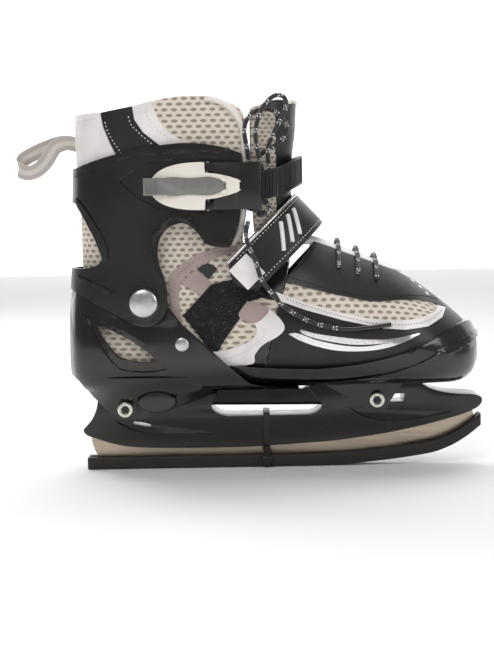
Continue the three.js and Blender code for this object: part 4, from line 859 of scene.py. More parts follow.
# ------------------------------------------------------------------ heel shell
TRAY_IN, TRAY_OUT = 4.2, 7.0
heel_shape = outline((-160, 127), (-142, 126.4), (-104, 108)) + arc(*PIVOT, 14.5, 225, 356)
heel_shape += outline((-68, 104), (-24, 63.5), (-18, 59.5, 10, 59.5), (10, 50), (-50, 53),
    (-74, 45, -84, 40.5),
                      (-98, 35, -112, 37.5), (-120, 40, -131, 53), (-140, 66), (-160, 74))
heel = boot_form("heel_shell_piece", TRAY_OUT)
join_on(heel, plan_form("skirt", SKIRT, 0, 0, 3))
cut(heel, boot_form("inside", TRAY_IN))
hollow = plan_form("hollow", SKIRT, -2.8, 0, 3)
cut(hollow, box("keep", (-200, 200), (-90, 90), (BASE - TRAY_OUT, 120)))
cut(heel, hollow)
within(heel, slab("heel_side", heel_shape, -70, 70))
cut(heel, box("holder_room", (-130.4, 30), (-13.8, 13.8), (20, TOP_REAR + 0.3)))
for low, high in ((-20.7, -13.8), (13.8, 20.7)):
    join_on(heel, disc("boss", -109, 44.4, 7.4, low, high))
for low, high in ((-60, -20.7), (20.7, 60)):
    cut(heel, disc("seat", -109, 44.4, 6.4, low, high))
ring = cuff_form("ring", 0.6)
join_on(ring, disc("boss", *PIVOT, 11.2, -45.4, 45.4))
within(ring, slab("cuff_side", cuff_shape, -70, 70))
cut(heel, ring)
window = outline((-126, 104), (-104, 98, -84, 79), (-104, 78, -112, 84), (-121, 94, -126, 104))[:-1]
cut(heel, slab("window", window, -70, 70))
recess = outline((-133, 110), (-104, 103, -78, 74), (-92, 69.5, -110, 74), (-122, 84, -133, 110))[:-1]
skin = boot_form("skin", TRAY_OUT + 5)
cut(skin, boot_form("in", TRAY_OUT - 1.1))
within(skin, slab("recess", recess, -70, 70))
cut(heel, skin)
for z in ((86, 98), (66.5, 77)):
    cut(heel, box("rear_slot", (-160, -128), (-12, 12), z))


def oval(grow=0.0, count=64):
    a = np.linspace(0, 2 * math.pi, count, endpoint=False)
    return [(-87 + (13 + grow) * math.cos(t), 49.8 + (7.6 + grow) * math.sin(t)) for t in a]


cut(heel, slab("button_hole", oval(0.4), -70, -13.5))
cut(heel, box("latch_slot", (-92, -82), (-22, 18), (48, 64)))
dress(heel, "shell", bevel=0.5, segments=2)
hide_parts("heel_shell")
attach(heel, "chassis")

button = slab("size_button_piece", oval(), -25.5, -20.5)
dress(button, "shell", bevel=1.2, segments=4)
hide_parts("size_button")
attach(button, "button")

# ------------------------------------------------------------------ toe shell
toe_shape = outline((-46, 50), (-46, 76.5), (-10, 72.6, 21, 72.7), (70, 76, 100, 91),
    (117, 101, 128, 101), (150, 98), (150, 50))
toe = foot_form("toe_shell_piece", 3.6)
skin = foot_form("ridge", 4.6)
upper_ridge = [(-50, 62), (-20, 63), (10, 62.5), (40, 64), (70, 69), (95, 78), (114, 88), (140, 95),
    (140, 92), (116, 82), (97, 72), (72, 65),
               (40, 60.5), (10, 59.5), (-20, 60), (-50, 60)]
within(skin, slab("ridge_side", smooth_loop(upper_ridge), -70, 70))
join_on(toe, skin)
cut(toe, foot_form("inside", 0.8))
within(toe, slab("toe_side", toe_shape, -70, 70))
ear = outline((28, TOP_FRONT + 1), (44, 50, 56, 42.3))
ear += arc(64, 47.9, 9, 225, 348.5, 16) + [(82, TOP_FRONT + 1)]
for low, high in ((-17.9, -13.9), (13.9, 17.9)):
    join_on(toe, slab("ear", ear, low, high))
dress(toe, "shell", bevel=0.5, segments=2)
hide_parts("toe_shell")
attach(toe, "toe")


# ------------------------------------------------------------------ soft boot
boot = boot_form("boot_base", 0)
modify(boot, "REMESH", mode="VOXEL", voxel_size=1.7 * MM)
modify(boot, "SMOOTH", factor=0.5, iterations=6)
fore = foot_form("fore_base", 0, step=2.5, around=160)


def layer(base, name, out, inn):
    """A hollow skin on a base: its outer face out from the base, its inner face inn."""
    a, b = copy(base, name), copy(base, "inner")
    for piece, push in ((a, out), (b, inn)):
        if push:
            modify(piece, "DISPLACE", strength=push * MM, mid_level=0)
    edit(b, (bpy.ops.mesh.flip_normals, {}))
    bpy.ops.object.select_all(action="DESELECT")
    b.select_set(True)
    a.select_set(True)
    bpy.context.view_layer.objects.active = a
    bpy.ops.object.join()
    return a


RING = np.array([
    ((HEEL_X + 8) / 2 + power(math.cos(t), 0.8) * 73.5,
        power(math.sin(t), 0.8) * 39) for t in np.linspace(-math.pi, math.pi, 721)
])
RING_RUN = np.concatenate([[0], np.cumsum(np.linalg.norm(np.diff(RING, axis=0), axis=1))])
RING_TURN = np.unwrap(np.arctan2(RING[:, 1], RING[:, 0] + 65.5))


def map_on(obj, foot=False):
    """Lays the cloth's map on a piece: round the leg and up it, or along the foot and round it."""
    co = places(obj)
    if foot:
        u, v = co[:, 0], np.arctan2(co[:, 2] - 92, np.abs(co[:, 1]) + 6) * 46
    else:
        turn = np.arctan2(co[:, 1], co[:, 0] + 65.5)
        u, v = np.interp(turn, RING_TURN, RING_RUN), co[:, 2]
    layer_map = obj.data.uv_layers.active or obj.data.uv_layers.new(name="map")
    index = np.zeros(len(obj.data.loops), np.int32)
    obj.data.loops.foreach_get("vertex_index", index)
    uv = np.stack([u[index], v[index]], axis=1) * MM
    layer_map.data.foreach_set("uv", uv.astype(np.float32).ravel())


def paint(obj, second, test):
    """Gives a second material to the faces that pass a test of their middle."""
    obj.data.materials.append(MAT[second])
    for face in obj.data.polygons:
        if test(face.center / MM):
            face.material_index = 1


def tree_of(obj):
    return BVHTree.FromObject(obj, bpy.context.evaluated_depsgraph_get())


BOOT_TREE, FORE_TREE = tree_of(boot), tree_of(fore)


def on_side(tree, x, z, lift, side=-1):
    """The place on a surface seen from the side at x and z, lifted off it."""
    hit, normal, _, _ = tree.ray_cast(Vector((x * MM, side * 0.12, z * MM)), Vector((0, -side, 0)))
    if hit is None:
        hit, normal, _, _ = tree.find_nearest(Vector((x * MM, side * 0.03, z * MM)))
    return np.array(hit / MM) + np.array(normal) * lift, np.array(normal)


quarter_side = [(-170, 50), (-13.4, 50), (-11.6, 78), (-4.4, 110), (3, 134), (6, 146), (-27, 156),
    (-23, 181), (-23, 238), (-26, 246), (-32, 250),
                (-45, 255), (-63, 255.8), (-80, 253.6), (-100, 248), (-124, 244.5), (-141, 243.5),
                (-170, 243)]
upper = copy(boot, "soft_boot")
within(upper, slab("upper_side", quarter_side, -70, 70))
hollow = copy(boot, "hollow")
modify(hollow, "DISPLACE", strength=-5.2 * MM, mid_level=0)
modify(hollow, "REMESH", mode="VOXEL", voxel_size=1.7 * MM)
join_on(hollow, leg_form("chimney", -6.0, 30))
cut(upper, hollow)
modify(upper, "REMESH", mode="VOXEL", voxel_size=1.5 * MM)
modify(upper, "SMOOTH", factor=0.5, iterations=4)
dress(upper, "mesh", angle=60)
map_on(upper)


def inside_boot(c):
    hit, _, _, gap = BOOT_TREE.find_nearest(c * MM)
    return gap > 2.2 * MM


paint(upper, "lining", inside_boot)
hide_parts("quarter", "collar")
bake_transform(upper)

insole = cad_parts["insole"]
insole.data.materials.clear()
insole.data.materials.append(MAT["lining"])

SKINS = {}


def patch(name, base, side_line, lift, material, slot, body, side=-1, top=None, inn=-0.8, cuts=(),
    foot=False):
    """A piece of leather laid on a base, cut to a side-view outline, and to a top-view one if it is given."""
    key = (base.name, lift, inn)
    if key not in SKINS:
        SKINS[key] = layer(base, "skin", lift, inn)
    piece = copy(SKINS[key], name)
    reach = {-1: (-75, -2), 1: (2, 75), 0: (-75, 75)}[side]
    if side_line:
        within(piece, slab("side", side_line, *reach))
    if top:
        within(piece, slab("top", top, 60, 200, "Z"))
    for other in cuts:
        cut(piece, other)
    dress(piece, material, angle=42)
    map_on(piece, foot)
    if body:
        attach(piece, body)
    return piece


def stitching(name, tree, line, lift, material="thread", body="chassis", step=2.6,
    long=1.5, thick=0.42, side=-1, place=None):
    """A row of stitches along a side-view line."""
    points = []
    for q in curve_points([(a, 0, b) for a, b in line], 1.0):
        p, n = place(q[0], q[2]) if place else on_side(tree, q[0], q[2], lift, side)
        points.append(np.concatenate([p, n]))
    points = np.array(points)
    run = np.concatenate([[0], np.cumsum(np.linalg.norm(np.diff(points[:, :3], axis=0), axis=1))])
    bpy.ops.mesh.primitive_uv_sphere_add(segments=8, ring_count=5, radius=1)
    one = bpy.context.object
    unit = np.array([v.co[:] for v in one.data.vertices])
    pieces = []
    for at in np.arange(step / 2, run[-1] - step / 2, step):
        p = np.array([np.interp(at, run, points[:, k]) for k in range(6)])
        q = np.array([np.interp(at + 0.5, run, points[:, k]) for k in range(3)])
        t = (q - p[:3]) / max(np.linalg.norm(q - p[:3]), 1e-6)
        n = p[3:] / np.linalg.norm(p[3:])
        b = np.cross(t, n)
        dash = copy(one, "dash")
        move(dash, p[:3] + unit[:, :1] * t * long / 2 + unit[:, 1:2] * b * thick + unit[:,
            2:3] * n * thick * 0.7)
        pieces.append(dash)
    drop(one)
    bpy.ops.object.select_all(action="DESELECT")
    for dash in pieces:
        dash.select_set(True)
    bpy.context.view_layer.objects.active = pieces[0]
    bpy.ops.object.join()
    whole = bpy.context.object
    whole.name = name
    dress(whole, material, angle=80)
    if body:
        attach(whole, body)
    return whole


# Collar
patch("rear_panel", boot, [(-160, 200), (-112, 200), (-109, 216), (-114, 226), (-118, 236), (-120, 246),
    (-138, 245.4), (-160, 242)],
             1.0, "white", "white_leather", "cuff_body", 0)
for side, word in ((-1, "lateral"), (1, "medial")):
    patch(f"collar_band_{word}", boot, [(-112, 205), (-108.6, 216), (-113.6, 226), (-117.6, 236),
        (-119.6, 245.6), (-98, 249), (-96.6, 240), (-91, 231.6),
                                        (-79, 222), (-79, 205)], 1.4, "black", "leather", "cuff_body", side)
    patch(f"collar_white_{word}", boot, [(-79.4, 205), (-79.4, 222.4), (-91.4, 232), (-97, 240),
        (-98.4, 249), (-85, 252.4), (-83, 246), (-80, 238),
                                         (-74, 231), (-60, 223), (-60, 205)], 1.0, "white",
                                         "white_leather", "cuff_body", side)
    for tag, line in (
        ("a", [(-116.2, 240), (-114.4, 233.5), (-111, 226.6), (-107.4, 221.3), (-104.6, 217)]),
        ("b", [(-100.4, 243), (-98.6, 237), (-94, 232), (-89.5, 227.6), (-84, 223)]),
    ):
        stitching(f"band_stitch_{tag}_{word}", BOOT_TREE, line, 1.5, body="cuff_body", side=side)
    stitching(f"white_stitch_{word}", BOOT_TREE,
        [(-89, 246), (-86.6, 240), (-82, 234), (-76, 229), (-70, 225)], 1.1, "thread", body="cuff_body",
        side=side,
              long=1.2, step=2.8)
    stitching(f"rear_stitch_{word}", BOOT_TREE,
        [(-121.5, 242), (-134, 240.4), (-136.6, 236), (-136.8, 225), (-136.8, 213)], 1.1,
        body="cuff_body", side=side)
    line = [(-50, 253.2), (-45, 252.4), (-38, 250), (-31, 244), (-26.6, 236), (-24.8, 227), (-24.6, 219),
        (-24.6, 205), (-25, 190), (-26.5, 178), (-29, 166), (-33, 157)]
    points = [on_side(BOOT_TREE, x, z, 0.6, side)[0] for x, z in line]
    for p in points:
        p[1] = side * min(abs(p[1]) + 0.2, 40.5)
    pipe, _ = tube(f"piping_{word}", points, 2.1)
    dress(pipe, "piping", angle=80)
    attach(pipe, "cuff_body")

# Quarter
mauve_outer = [(-30, 156), (-45, 154.2), (-58, 150), (-67.5, 144), (-75, 138), (-77, 132), (-76, 120),
    (-74, 100)]
mauve_inner = [(-68, 100), (-70, 122.7), (-68.6, 131.4), (-64.6, 136.6), (-57, 142.6), (-40, 149.3),
    (-31, 152)]
for side, word in ((-1, "lateral"), (1, "medial")):
    band = patch(f"ankle_band_{word}", boot, mauve_outer + mauve_inner, 0.9, "mauve", "white_leather",
        None, side)
    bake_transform(band)
    patch(f"ankle_patch_{word}", boot, [(-58, 140.4), (-47.6, 131.2), (-55, 122.4), (-68.6, 131.5)], 1.0,
        "mauve", "white_leather", "chassis", side)
    patch(f"ankle_square_{word}", boot, [(-57.4, 141), (-50, 144.6), (-43.6, 140.7), (-49.6, 133.6)], 0.9,
        "gloss", "leather", "chassis", side)
    patch(f"side_flap_{word}", boot, smooth_loop([(-22, 118.4), (-10, 113.4), (-2.4, 106.9), (0.6, 100.4),
        (-4, 95), (-14, 89.4), (-19.6, 82.7), (-22.4, 76),
                                      (-50, 76), (-52, 84), (-40, 85.6), (-26, 90.2), (-18.6, 96.5),
                                      (-19.2, 102.9), (-29, 109)]),
          1.6, "white", "white_leather", "chassis", side)
    # Painted shade: a mauve sheet laid on the top of the side flap stands for the shade under the strap's end.
    patch(f"flap_painted_shade_{word}", boot, smooth_loop([(-24, 118.6), (-10, 114), (-13, 108), (-20, 104),
        (-30, 109)]), 1.75, "mauve", "white_leather", "chassis", side)
stitching("ankle_perforations", BOOT_TREE,
    [(-34, 153.4), (-45, 151.6), (-57, 147), (-66, 140.6), (-71.4, 134.4), (-73.4, 126)], 0.95,
    "dark_thread", body="chassis",
          long=0.7, step=2.4, thick=0.3)
stitching("flap_stitch", BOOT_TREE, [(-46, 80.4), (-34, 81.6), (-24, 86), (-15.6, 92.6), (-13, 98),
    (-15, 103)], 1.7, "thread", body="chassis", long=1.2, step=2.4, thick=0.3)

tape_side = [(-48, 130), (-67.5, 109.4), (-57, 96), (-46, 81), (-41.6, 90), (-21, 118.8), (-10, 122.2),
    (-16, 128), (-30, 134)]
tape = patch("hook_tape_piece", boot, tape_side, 1.3, "hook", "hook_tape", "chassis", -1)
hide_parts("hook_tape")

front_low = [(-25, 60), (-25, 76), (-21, 83), (-13, 90), (-9, 93), (-12, 78), (-13.9, 60)]
front_high = [(-16, 121), (-5, 119), (-1.6, 121), (2.4, 134), (4.4, 144), (-18, 148), (-26, 134)]
for side, word in ((-1, "lateral"), (1, "medial")):
    patch(f"front_side_{word}", boot, front_low, 0.8, "gloss", "leather", "chassis", side)
    patch(f"front_eyestay_{word}", boot, front_high, 0.8, "black", "leather", "chassis", side)

# Toe part
vamp_side = [(-13, 50), (-11, 78), (-4, 110), (3.4, 134), (21, 153), (24, 175), (150, 175), (150, 50)]


def throat(edge, low=-20, end=68):
    line = [(low, -11 - edge), (end, -6.5 - edge)]
    line += [(end + (10.5 + edge) * math.cos(t),
        4 + (10.5 + edge) * math.sin(t)) for t in np.linspace(-math.pi / 2, math.pi / 2, 21)]
    return line + [(low, 19 + edge)]


vamp = layer(fore, "vamp_piece", 0, -4.5)
within(vamp, slab("vamp_side", vamp_side, -70, 70))
cut(vamp, slab("throat", throat(0), 100, 200, "Z"))
dress(vamp, "mesh", angle=50)
map_on(vamp, True)
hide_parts("vamp")
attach(vamp, "toe")

mesh_window = smooth_loop([(-8, 131.8), (7, 129.4), (24, 125), (43, 120.6), (60, 117.4), (81, 117.6),
    (97, 116.2), (107, 113), (111, 110), (107, 106.2), (96, 102),
                           (81, 100.4), (65, 101.8), (39, 107.6), (15, 114), (-1, 119.6), (-6, 125.8)])
patch("vamp_cover", fore, vamp_side, 0.9, "black", "leather", "toe", 0, foot=True, cuts=(
    slab("window", mesh_window, -75, -6), slab("window", mesh_window, 10, 75),
    slab("throat", throat(1.0), 100, 200, "Z"),
    slab("front_mesh", smooth_loop([(76, -8), (86, -7), (93, 4), (86, 15), (76, 16)]), 100, 200, "Z")))
trim = [(-5, 124.6), (0, 122.8), (15, 117.3), (33, 111.6), (55, 106.4), (76, 104), (92, 105), (104, 109),
    (106.4, 112.6)]
trim += [(112.6, 110.4), (108.4, 104.8), (97, 99.6), (81, 98.2), (65, 99.7), (39, 105.5), (15, 112.3),
    (-1, 118)]
for side, word in ((-1, "lateral"), (1, "medial")):
    patch(f"trim_{word}", fore, trim, 1.5, "white", "white_leather", "toe", side, foot=True)
    patch(f"swoosh_upper_{word}", fore, smooth_loop([(11, 99.6), (23, 96.4), (49, 92.9), (70, 92.5),
        (91, 95.4), (78, 91.2), (59, 89.2), (43, 89.4), (23, 93), (12, 97)]),
          1.4, "chrome", "white_leather", "toe", side, foot=True)
    patch(f"swoosh_lower_{word}", fore, smooth_loop([(3, 96.6), (9, 97), (23, 92), (42, 88.3), (59, 88.2),
        (86, 93), (72, 87.6), (57, 85), (38, 85), (23, 87.8), (11, 92)]),
          1.5, "chrome", "white_leather", "toe", side, foot=True)
    stitching(f"trim_stitch_{word}", FORE_TREE,
        [(2, 119.8), (15, 115), (35, 108.8), (58, 103), (78, 101), (95, 102.3), (108, 108)], 1.6,
        "dark_thread",
              "toe", long=0.9, step=2.2, thick=0.3, side=side)
    stitching(f"eyestay_stitch_{word}", FORE_TREE,
        [(3, 134.2), (24, 127.6), (42, 123), (56, 120.4), (71, 119.4), (84, 119.6), (97, 118.2),
            (108, 115)], 1.0,
              "dark_thread", "toe", long=1.6, step=2.7, thick=0.45, side=side)
    stitching(f"side_stitch_{word}", FORE_TREE,
        [(-10, 92.6), (0, 97.6), (3.4, 102), (-0.6, 108), (-7, 113)], 1.0, "dark_thread",
        "toe", side=side)

patch("eyestay_edge", fore, [(4, 100), (4, 175), (92, 175), (92, 100)], 1.6, "white", "white_leather",
    "toe", 0, top=throat(5.6), foot=True,
             cuts=(slab("in", throat(0.2), 100, 200, "Z"),))
for k, (x, y) in enumerate(((90, -7), (95, -9), (99.5, -11.5))):
    hit, n, _, _ = FORE_TREE.ray_cast(Vector((x * MM, y * MM, 0.2)), Vector((0, 0, -1)))
    bpy.ops.mesh.primitive_uv_sphere_add(segments=20, ring_count=10, radius=1)
    dot = bpy.context.object
    dot.name = f"toe_dot_{k + 1}"
    unit = np.array([v.co[:] for v in dot.data.vertices])
    n = np.array(n)
    a = np.cross(n, (0, 1, 0))
    a /= np.linalg.norm(a)
    b = np.cross(n, a)
    move(dot, np.array(hit) / MM + n * 0.9 + unit[:, :1] * a * 1.7 + unit[:, 1:2] * b * 1.7 + unit[:,
        2:3] * n * 0.5)
    dress(dot, "white", angle=80)
    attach(dot, "toe")

under = layer(fore, "tongue_lower_piece", -5.1, -9.5)
within(under, slab("side", [(25, 120), (25, 175), (92, 175), (92, 120)], -70, 70))
within(under, slab("top", throat(5), 100, 200, "Z"))
dress(under, "white", angle=50)
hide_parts("tongue_lower")
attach(under, "toe")
for word in ("lateral", "medial"):
    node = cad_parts[f"toe_gusset_{word}"]
    node.data.materials.clear()
    node.data.materials.append(MAT["lining"])

# Upper tongue
tongue = leg_form("tongue_piece", 0)
cut(tongue, leg_form("in", -8, 30))
within(tongue, slab("side", [(-18.5, 163), (20, 176.6), (20, 252), (-2, 253.5), (-20.5, 247),
    (-20.5, 200)], -70, 70))
modify(tongue, "REMESH", mode="VOXEL", voxel_size=1.3 * MM)
modify(tongue, "SMOOTH", factor=0.5, iterations=8)
dress(tongue, "fine_mesh", angle=60)
map_on(tongue)
paint(tongue, "black", lambda c: c.x > -6.5 + 0.12 * abs(c.y) or (c.z > 246 and c.x > -12))
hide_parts("tongue_upper")
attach(tongue, "cuff_body")
TONGUE_TREE = tree_of(tongue)
rim = []
for y in np.linspace(-27, 27, 15):
    hit, n, _, _ = TONGUE_TREE.find_nearest(Vector((0.016 * (1 - abs(y) / 90), y * MM, 0.254)))
    rim.append(np.array(hit) / MM + np.array(n) * 0.4)
edge_pipe, _ = tube("tongue_piping", rim, 1.3)
dress(edge_pipe, "piping", angle=80)
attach(edge_pipe, "cuff_body")

# ------------------------------------------------------------------ instep strap
STRAP_O, STRAP_U, STRAP_V = np.array([-34, 0, 129.0]), np.array([0.722, 0, 0.692]), np.array([0.692, 0,
    -0.722])


def arch(turn, grow):
    a = math.radians(turn)
    return (71.5 + grow) * power(math.cos(a), 0.95), (44.6 + grow) * power(math.sin(a), 0.86)


def on_strap(turn, across, grow):
    u, y = arch(turn, grow)
    return STRAP_O + STRAP_U * u + STRAP_V * across + np.array([0, y, 0])


def arch_band(name, high, low, grow, thick, width, steps=90, ends=0.0, uneven=0.0):
    """A band over the arch with rounded long edges, narrowing to a round end."""
    rings = []
    span = high - low
    for t in np.linspace(0, 1, steps):
        turn = high - span * t
        far = (1 - t) * span
        half = width / 2
        if ends and far < ends:
            half *= math.sqrt(max(1 - ((ends - far) / ends) ** 2, 0.03))
        ring = []
        for a in np.linspace(0, 2 * math.pi, 28, endpoint=False):
            v = power(math.cos(a), 0.35) * half
            d = 0.5 + 0.5 * power(math.sin(a), 0.6)
            ring.append(on_strap(turn, v, grow + d * thick))
        rings.append(ring)
    return wrapped(name, rings)


strap = arch_band("instep_strap_piece", 84, -88, 0.0, 3.2, 27, 120, 9)
dress(strap, "black", angle=50)
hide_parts("instep_strap")
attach(strap, "strap")
badge = arch_band("strap_badge_piece", -74, -86, 3.3, 0.9, 18, 16)
dress(badge, "white", angle=50)
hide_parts("strap_badge")
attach(badge, "strap")
edge_line = [on_strap(t, -13.0, 2.2) for t in np.linspace(84, -84, 60)]
strap_edge, _ = tube("strap_piping_upper", edge_line, 1.1)
dress(strap_edge, "silver", angle=80)
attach(strap_edge, "strap")
low_line = [on_strap(t, 13.0, 2.2) for t in np.linspace(84, -84, 60)]
strap_low, _ = tube("strap_piping_lower", low_line, 0.8)
dress(strap_low, "black", angle=80)
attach(strap_low, "strap")
root = arch_band("strap_root_piece", 97, 85, 0.0, 3.2, 27, 12)
dress(root, "black", angle=50)
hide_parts("instep_strap_root")
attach(root, "chassis")


def strap_place(t, across):
    p, q = on_strap(t, across, 3.3), on_strap(t, across, 5.3)
    return p, (q - p) / np.linalg.norm(q - p)


def strap_stitches(name, line, material="thread"):
    """Stitches along a line of (turn, across) on the strap."""
    stitching(name, None, line, 0, material, "strap", step=2.7, long=1.5, thick=0.4,
        place=strap_place)


for k, (from_t, to_t) in enumerate(((-58, -46), (-50, -38), (-42, -30))):
    slash = []
    for t in np.linspace(0, 1, 9):
        slash.append(on_strap(from_t + (to_t - from_t) * t, 7.5 - 15 * t, 3.6))
    bar, _ = tube(f"strap_slash_{k + 1}", slash, 1.5, sides=10)
    dress(bar, "white", angle=80)
    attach(bar, "strap")
strap_stitches("strap_stitch_upper", [(t, -10.6) for t in range(80, -81, -8)])
strap_stitches("strap_stitch_lower", [(t, 10.6) for t in range(80, -81, -8)])

# ------------------------------------------------------------------ ladder strap and buckle
HX, HY, BZ = -33.5, 46.2, 195.2
H = np.array([HX, HY])


def sector(inner, outer, low, high, steps=26):
    a = np.radians(np.linspace(low, high, steps))
    near = [(HX + inner * math.sin(t), HY - inner * math.cos(t)) for t in a]
    far = [(HX + outer * math.sin(t), HY - outer * math.cos(t)) for t in a[::-1]]
    return near + far


ladder_path = [(HX + 93 * math.sin(math.radians(d)), HY - 93 * math.cos(math.radians(d)),
    BZ) for d in (-10, -5, 0, 6, 11.5)]
ladder_path += [(-2, -40.6, 198), (8, -30.5, 203), (13.4, -15, 206), (14.4, 0, 207), (13.4, 15, 207),
    (8.6, 29, 206), (-2, 39.5, 204), (-16, 44.6, 202),
                (HX + 1.2, HY, 200)]
lad = curve_points(ladder_path, 0.5)
run = np.concatenate([[0], np.cumsum(np.linalg.norm(np.diff(lad, axis=0), axis=1))])
tangent = np.gradient(lad, axis=0)
normal = np.stack([-tangent[:, 1], tangent[:, 0], 0 * run], axis=1)
normal /= np.linalg.norm(normal, axis=1)[:, None]
if np.dot(normal[0][:2], lad[0][:2] - H) < 0:
    normal = -normal
rings = []
for p, n, s in zip(lad, normal, run):
    half = 9.5 * (min(1, math.sqrt(max((s + 0.5) / 4, 0.02))) if s < 4 else 1)
    rib = 0.55 * min(1, max(0, 1.6 * math.sin(2 * math.pi * s / 2.6))) if 1.5 < s < run[-1] - 18 else 0
    ring = []
    for v, d in ((-1, -1.0), (-1, 1.0), (-0.86, 1.0), (-0.84, 0.62), (0.84, 0.62), (0.86, 1.0), (1, 1.0),
        (1, -1.0)):
        depth = d * 1.1
        if abs(v) < 0.85:
            depth = 0.45 + rib
        ring.append(p + n * depth + np.array([0, 0, v * half]))
    rings.append(ring)
ladder = wrapped("ladder_strap_piece", rings)
dress(ladder, "dark", angle=30)
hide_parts("ladder_strap")
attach(ladder, "ladder")

housing = slab("buckle_housing_piece", sector(90.45, 100, -13, 11.5), 179.95, 210.45, "Z")
cut(housing, slab("channel", sector(91.0, 94.55, -20, 20), 185.25, 205.15, "Z"))
cut(housing, slab("open", sector(94.1, 102, -20, -6.6), 185.25, 205.15, "Z"))
join_on(housing, slab("lug", [(-31.7, -57.4), (-28.3, -57.4), (-28.3, -52.4), (-31.7, -52.4)], 193.2,
    197.2, "Z"))
join_on(housing, pin("lug_eye", -30, -57.4, 1.7, 193.2, 197.2))
cut(housing, pin("bore", -30, -57.4, 1.1, 150, 250))
cut(housing, pin("bore", -48.6, -49.8, 1.1, 150, 250))
cut(housing, cuff_form("clear", 0.3))
dress(housing, "cuff", angle=35, bevel=0.7)
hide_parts("buckle_housing")
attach(housing, "cuff_body")

NOSE = [(-30 + 3.1 * math.cos(a), -57.4 + 3.1 * math.sin(a)) for a in np.linspace(-math.pi / 2,
    math.pi / 3, 16)]
lever_plan = outline(NOSE[0], *NOSE[1:], (-34, -54.9), (-56, -54.9), (-57.4, -48.4), (-76, -48),
    (-84, -52), (-84.6, -57.1), (-76, -60.5, -62, -60.5))
lever_side = outline((-26, BZ - 2.6), (-36, BZ - 7.6, -50, BZ - 8.6), (-50.5, BZ - 15.4),
    (-78, BZ - 16, -85, BZ - 5), (-85, BZ + 5),
                     (-78, BZ + 16, -50.5, BZ + 15.4), (-50, BZ + 8.6), (-36, BZ + 7.6, -26, BZ + 2.6))


def tab_side(grow):
    tip, end, waist = 1.6 + grow, 5.6 + grow, 4 + grow
    return outline((-36.8 + grow, BZ - tip), (-44, BZ - end, -49, BZ - end),
        (-60, BZ - waist, -68, BZ - end), (-90 - grow, BZ - end),
                   (-90 - grow, BZ + end), (-68, BZ + end), (-60, BZ + waist, -49, BZ + end),
                   (-44, BZ + end, -36.8 + grow, BZ + tip))


lever = slab("buckle_lever_piece", lever_plan, BZ - 16, BZ + 16, "Z")
within(lever, slab("side", lever_side, -70, -40))
join_on(lever, box("ear", (-39.8, -36.2), (-61.9, -59.5), (BZ - 5.6, BZ + 5.6)))
cut(lever, slab("tab_room", tab_side(0.4), -75, -59.5))
cut(lever, box("lug_room", (-32.4, -18), (-59.5, -40), (192.8, 197.6)))
cut(lever, pin("bore", -30, -57.4, 1.1, 150, 250))
cut(lever, pin("bore", -38, -60.9, 0.7, 150, 250))
dress(lever, "ivory", angle=35, bevel=0.9, segments=3)
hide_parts("buckle_lever")
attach(lever, "lever")
tab = slab("release_tab_piece", [(-90, -59.9), (-38, -59.9), (-36.9, -60.9), (-38, -61.9), (-90, -62.1)],
    BZ - 10, BZ + 10, "Z")
within(tab, slab("side", tab_side(0), -80, -40))
cut(tab, pin("bore", -38, -60.9, 0.7, 150, 250))
for k in range(5):
    cut(tab, box("rib", (-88.4 + 1.7 * k, -87.6 + 1.7 * k), (-64, -61.6), (BZ - 4.4, BZ + 4.4)))
dress(tab, "grey", angle=35, bevel=0.35)
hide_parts("release_tab")
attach(tab, "tab")
# ------------------------------------------------------------------ heel ribbon
RIBBON = [(-138, -1.7, 225.8), (-145, -3.2, 227.6), (-149.5, -4, 226.9), (-154, -4.6, 225),
    (-157, -5, 221.2), (-160.5, -5.4, 215.5), (-166, -5.8, 210),
          (-172, -5.4, 207.6), (-178, -3.2, 208.6), (-180.6, 0.4, 212), (-178.6, 4, 216.6),
          (-174, 5.4, 219.6), (-167, 6, 223.2), (-161, 5.6, 225.4),
          (-154, 4.4, 227.6), (-147, 3, 228.2), (-138, 1.7, 225.8)]
mid = curve_points(RIBBON, 0.8)
ribbon_run = np.concatenate([[0], np.cumsum(np.linalg.norm(np.diff(mid, axis=0), axis=1))])
rings, ribbon_uv = [], []
for p, t in zip(mid, np.gradient(mid, axis=0)):
    t = t / np.linalg.norm(t)
    up = np.array([0, 0, 1.0]) - t * t[2]
    up /= np.linalg.norm(up)
    out = np.cross(t, up)
    ring = []
    for v in np.linspace(-1, 1, 11):
        ring.append(p + up * 5 * v + out * 0.55)
    for v in np.linspace(1, -1, 11):
        ring.append(p + up * 5 * v - out * 0.55)
    rings.append(ring)
ribbon = wrapped("heel_ribbon", rings)
dress(ribbon, "ribbon", angle=60, bevel=0)
uv = ribbon.data.uv_layers.active or ribbon.data.uv_layers.new(name="map")
spots = places(ribbon)
lift = np.gradient(mid, axis=0)
lift /= np.linalg.norm(lift, axis=1)[:, None]
for loop in ribbon.data.loops:
    p = spots[loop.vertex_index]
    near = int(np.argmin(np.linalg.norm(mid - p, axis=1)))
    up = np.array([0, 0, 1.0]) - lift[near] * lift[near][2]
    up /= np.linalg.norm(up)
    uv.data[loop.index].uv = (ribbon_run[near] * MM, float(np.dot(p - mid[near], up)) * MM)
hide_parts("heel_loop")
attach(ribbon, "cuff_body")

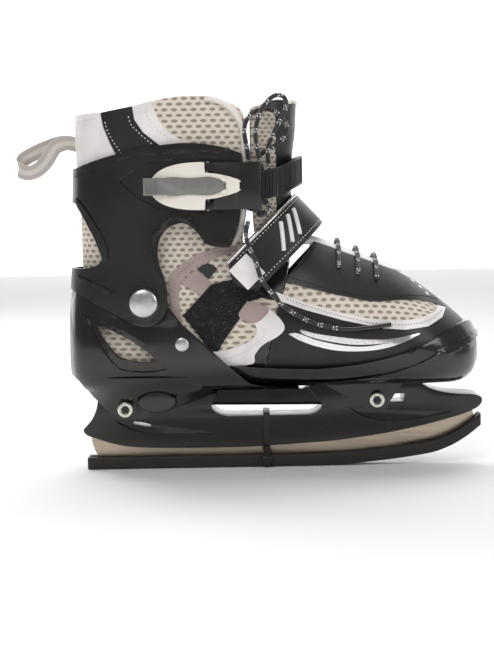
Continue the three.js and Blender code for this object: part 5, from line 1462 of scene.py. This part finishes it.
# ------------------------------------------------------------------ laces
for k, x in enumerate((37.5, 50.5, 63)):
    _, half, base, top, lean = between(FOOT, x)
    half, top = half + 2.05, top + 2.05
    wide = base + 0.34 * (top - base)
    row = []
    for a in np.radians(48 + 8.4 * np.arange(11)):
        y = power(math.cos(a), 1.02) * half + lean * math.sin(a) ** 2
        row.append((x + 5 * math.sin(a) - 3, y, wide + (top - wide) * power(math.sin(a), 1.06)))
    piece, _ = tube(f"lace_row_piece_{k + 1}", row, 1.55)
    dress(piece, "lace", angle=80)
    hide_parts(f"lace_row_{k + 1}")
    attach(piece, "toe")
knot_line = []
for t in np.linspace(0, 2 * math.pi * 0.985, 80):
    knot_line.append((-15 + 5.2 * math.cos(t) + 2.0 * math.cos(3 * t),
        -36.5 + 1.9 * math.sin(3 * t + 0.4), 181 + 4.0 * math.sin(t) + 1.4 * math.sin(2 * t)))
knot, _ = tube("lace_knot_piece", knot_line, 1.9)
dress(knot, "lace", angle=80)
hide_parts("lace_knot")
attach(knot, "cuff_body")

# ------------------------------------------------------------------ materials of the remaining parts
LOOK = {
    "rear_nut": "zinc", "front_nut": "zinc", "pawl_pin": "zinc", "lever_pin": "zinc", "tab_pin": "zinc",
    "ratchet_pawl": "satin", "ladder_rivet": "satin",
    "button_spring": "steel", "latch_hook": "shell", "size_rack": "shell", "ladder_strap_root": "cuff",
}
for name, look in LOOK.items():
    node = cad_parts.get(name)
    if node is None:
        continue
    node.data.materials.clear()
    node.data.materials.append(MAT[look])


# ------------------------------------------------------------------ floor and light
drop(boot, fore, *SKINS.values())


def stage_set():
    bpy.ops.mesh.primitive_plane_add(size=10, location=(0, 0, -0.0002))
    floor = bpy.context.object
    floor.name = "floor"
    floor.data.materials.append(Make("floor_white", (0.95, 0.95, 0.95), 0.9).mat)
    bpy.ops.mesh.primitive_plane_add(size=12, location=(0, 3.2, 2), rotation=(math.pi / 2, 0, 0))
    wall = bpy.context.object
    wall.name = "backdrop"
    glow = Make("backdrop_white", (1, 1, 1), 1.0)
    glow.shader.inputs["Emission Color"].default_value = (1, 1, 1, 1)
    glow.shader.inputs["Emission Strength"].default_value = 0.9
    wall.data.materials.append(glow.mat)
    for name, place, size, energy in (
        ("key", (-0.5, -1.3, 1.5), 0.8, 10.5),
        ("fill", (1.2, -0.9, 0.7), 0.7, 4.5),
        ("top", (0.0, 0.3, 1.6), 1.0, 8),
        ("rim", (-0.9, 0.9, 0.9), 0.6, 6),
    ):
        bpy.ops.object.light_add(type="AREA", location=place)
        light = bpy.context.object
        light.name = name
        light.data.size = size
        light.data.energy = energy
        light.rotation_euler = (Vector((0, 0, 0.12)) - Vector(place)).to_track_quat("-Z", "Y").to_euler()
    world = bpy.data.worlds.new("studio")
    SCENE.world = world
    world.use_nodes = True
    world.node_tree.nodes["Background"].inputs["Color"].default_value = (1, 1, 1, 1)
    world.node_tree.nodes["Background"].inputs["Strength"].default_value = 0.28
    SCENE.view_settings.view_transform = "Standard"


stage_set()

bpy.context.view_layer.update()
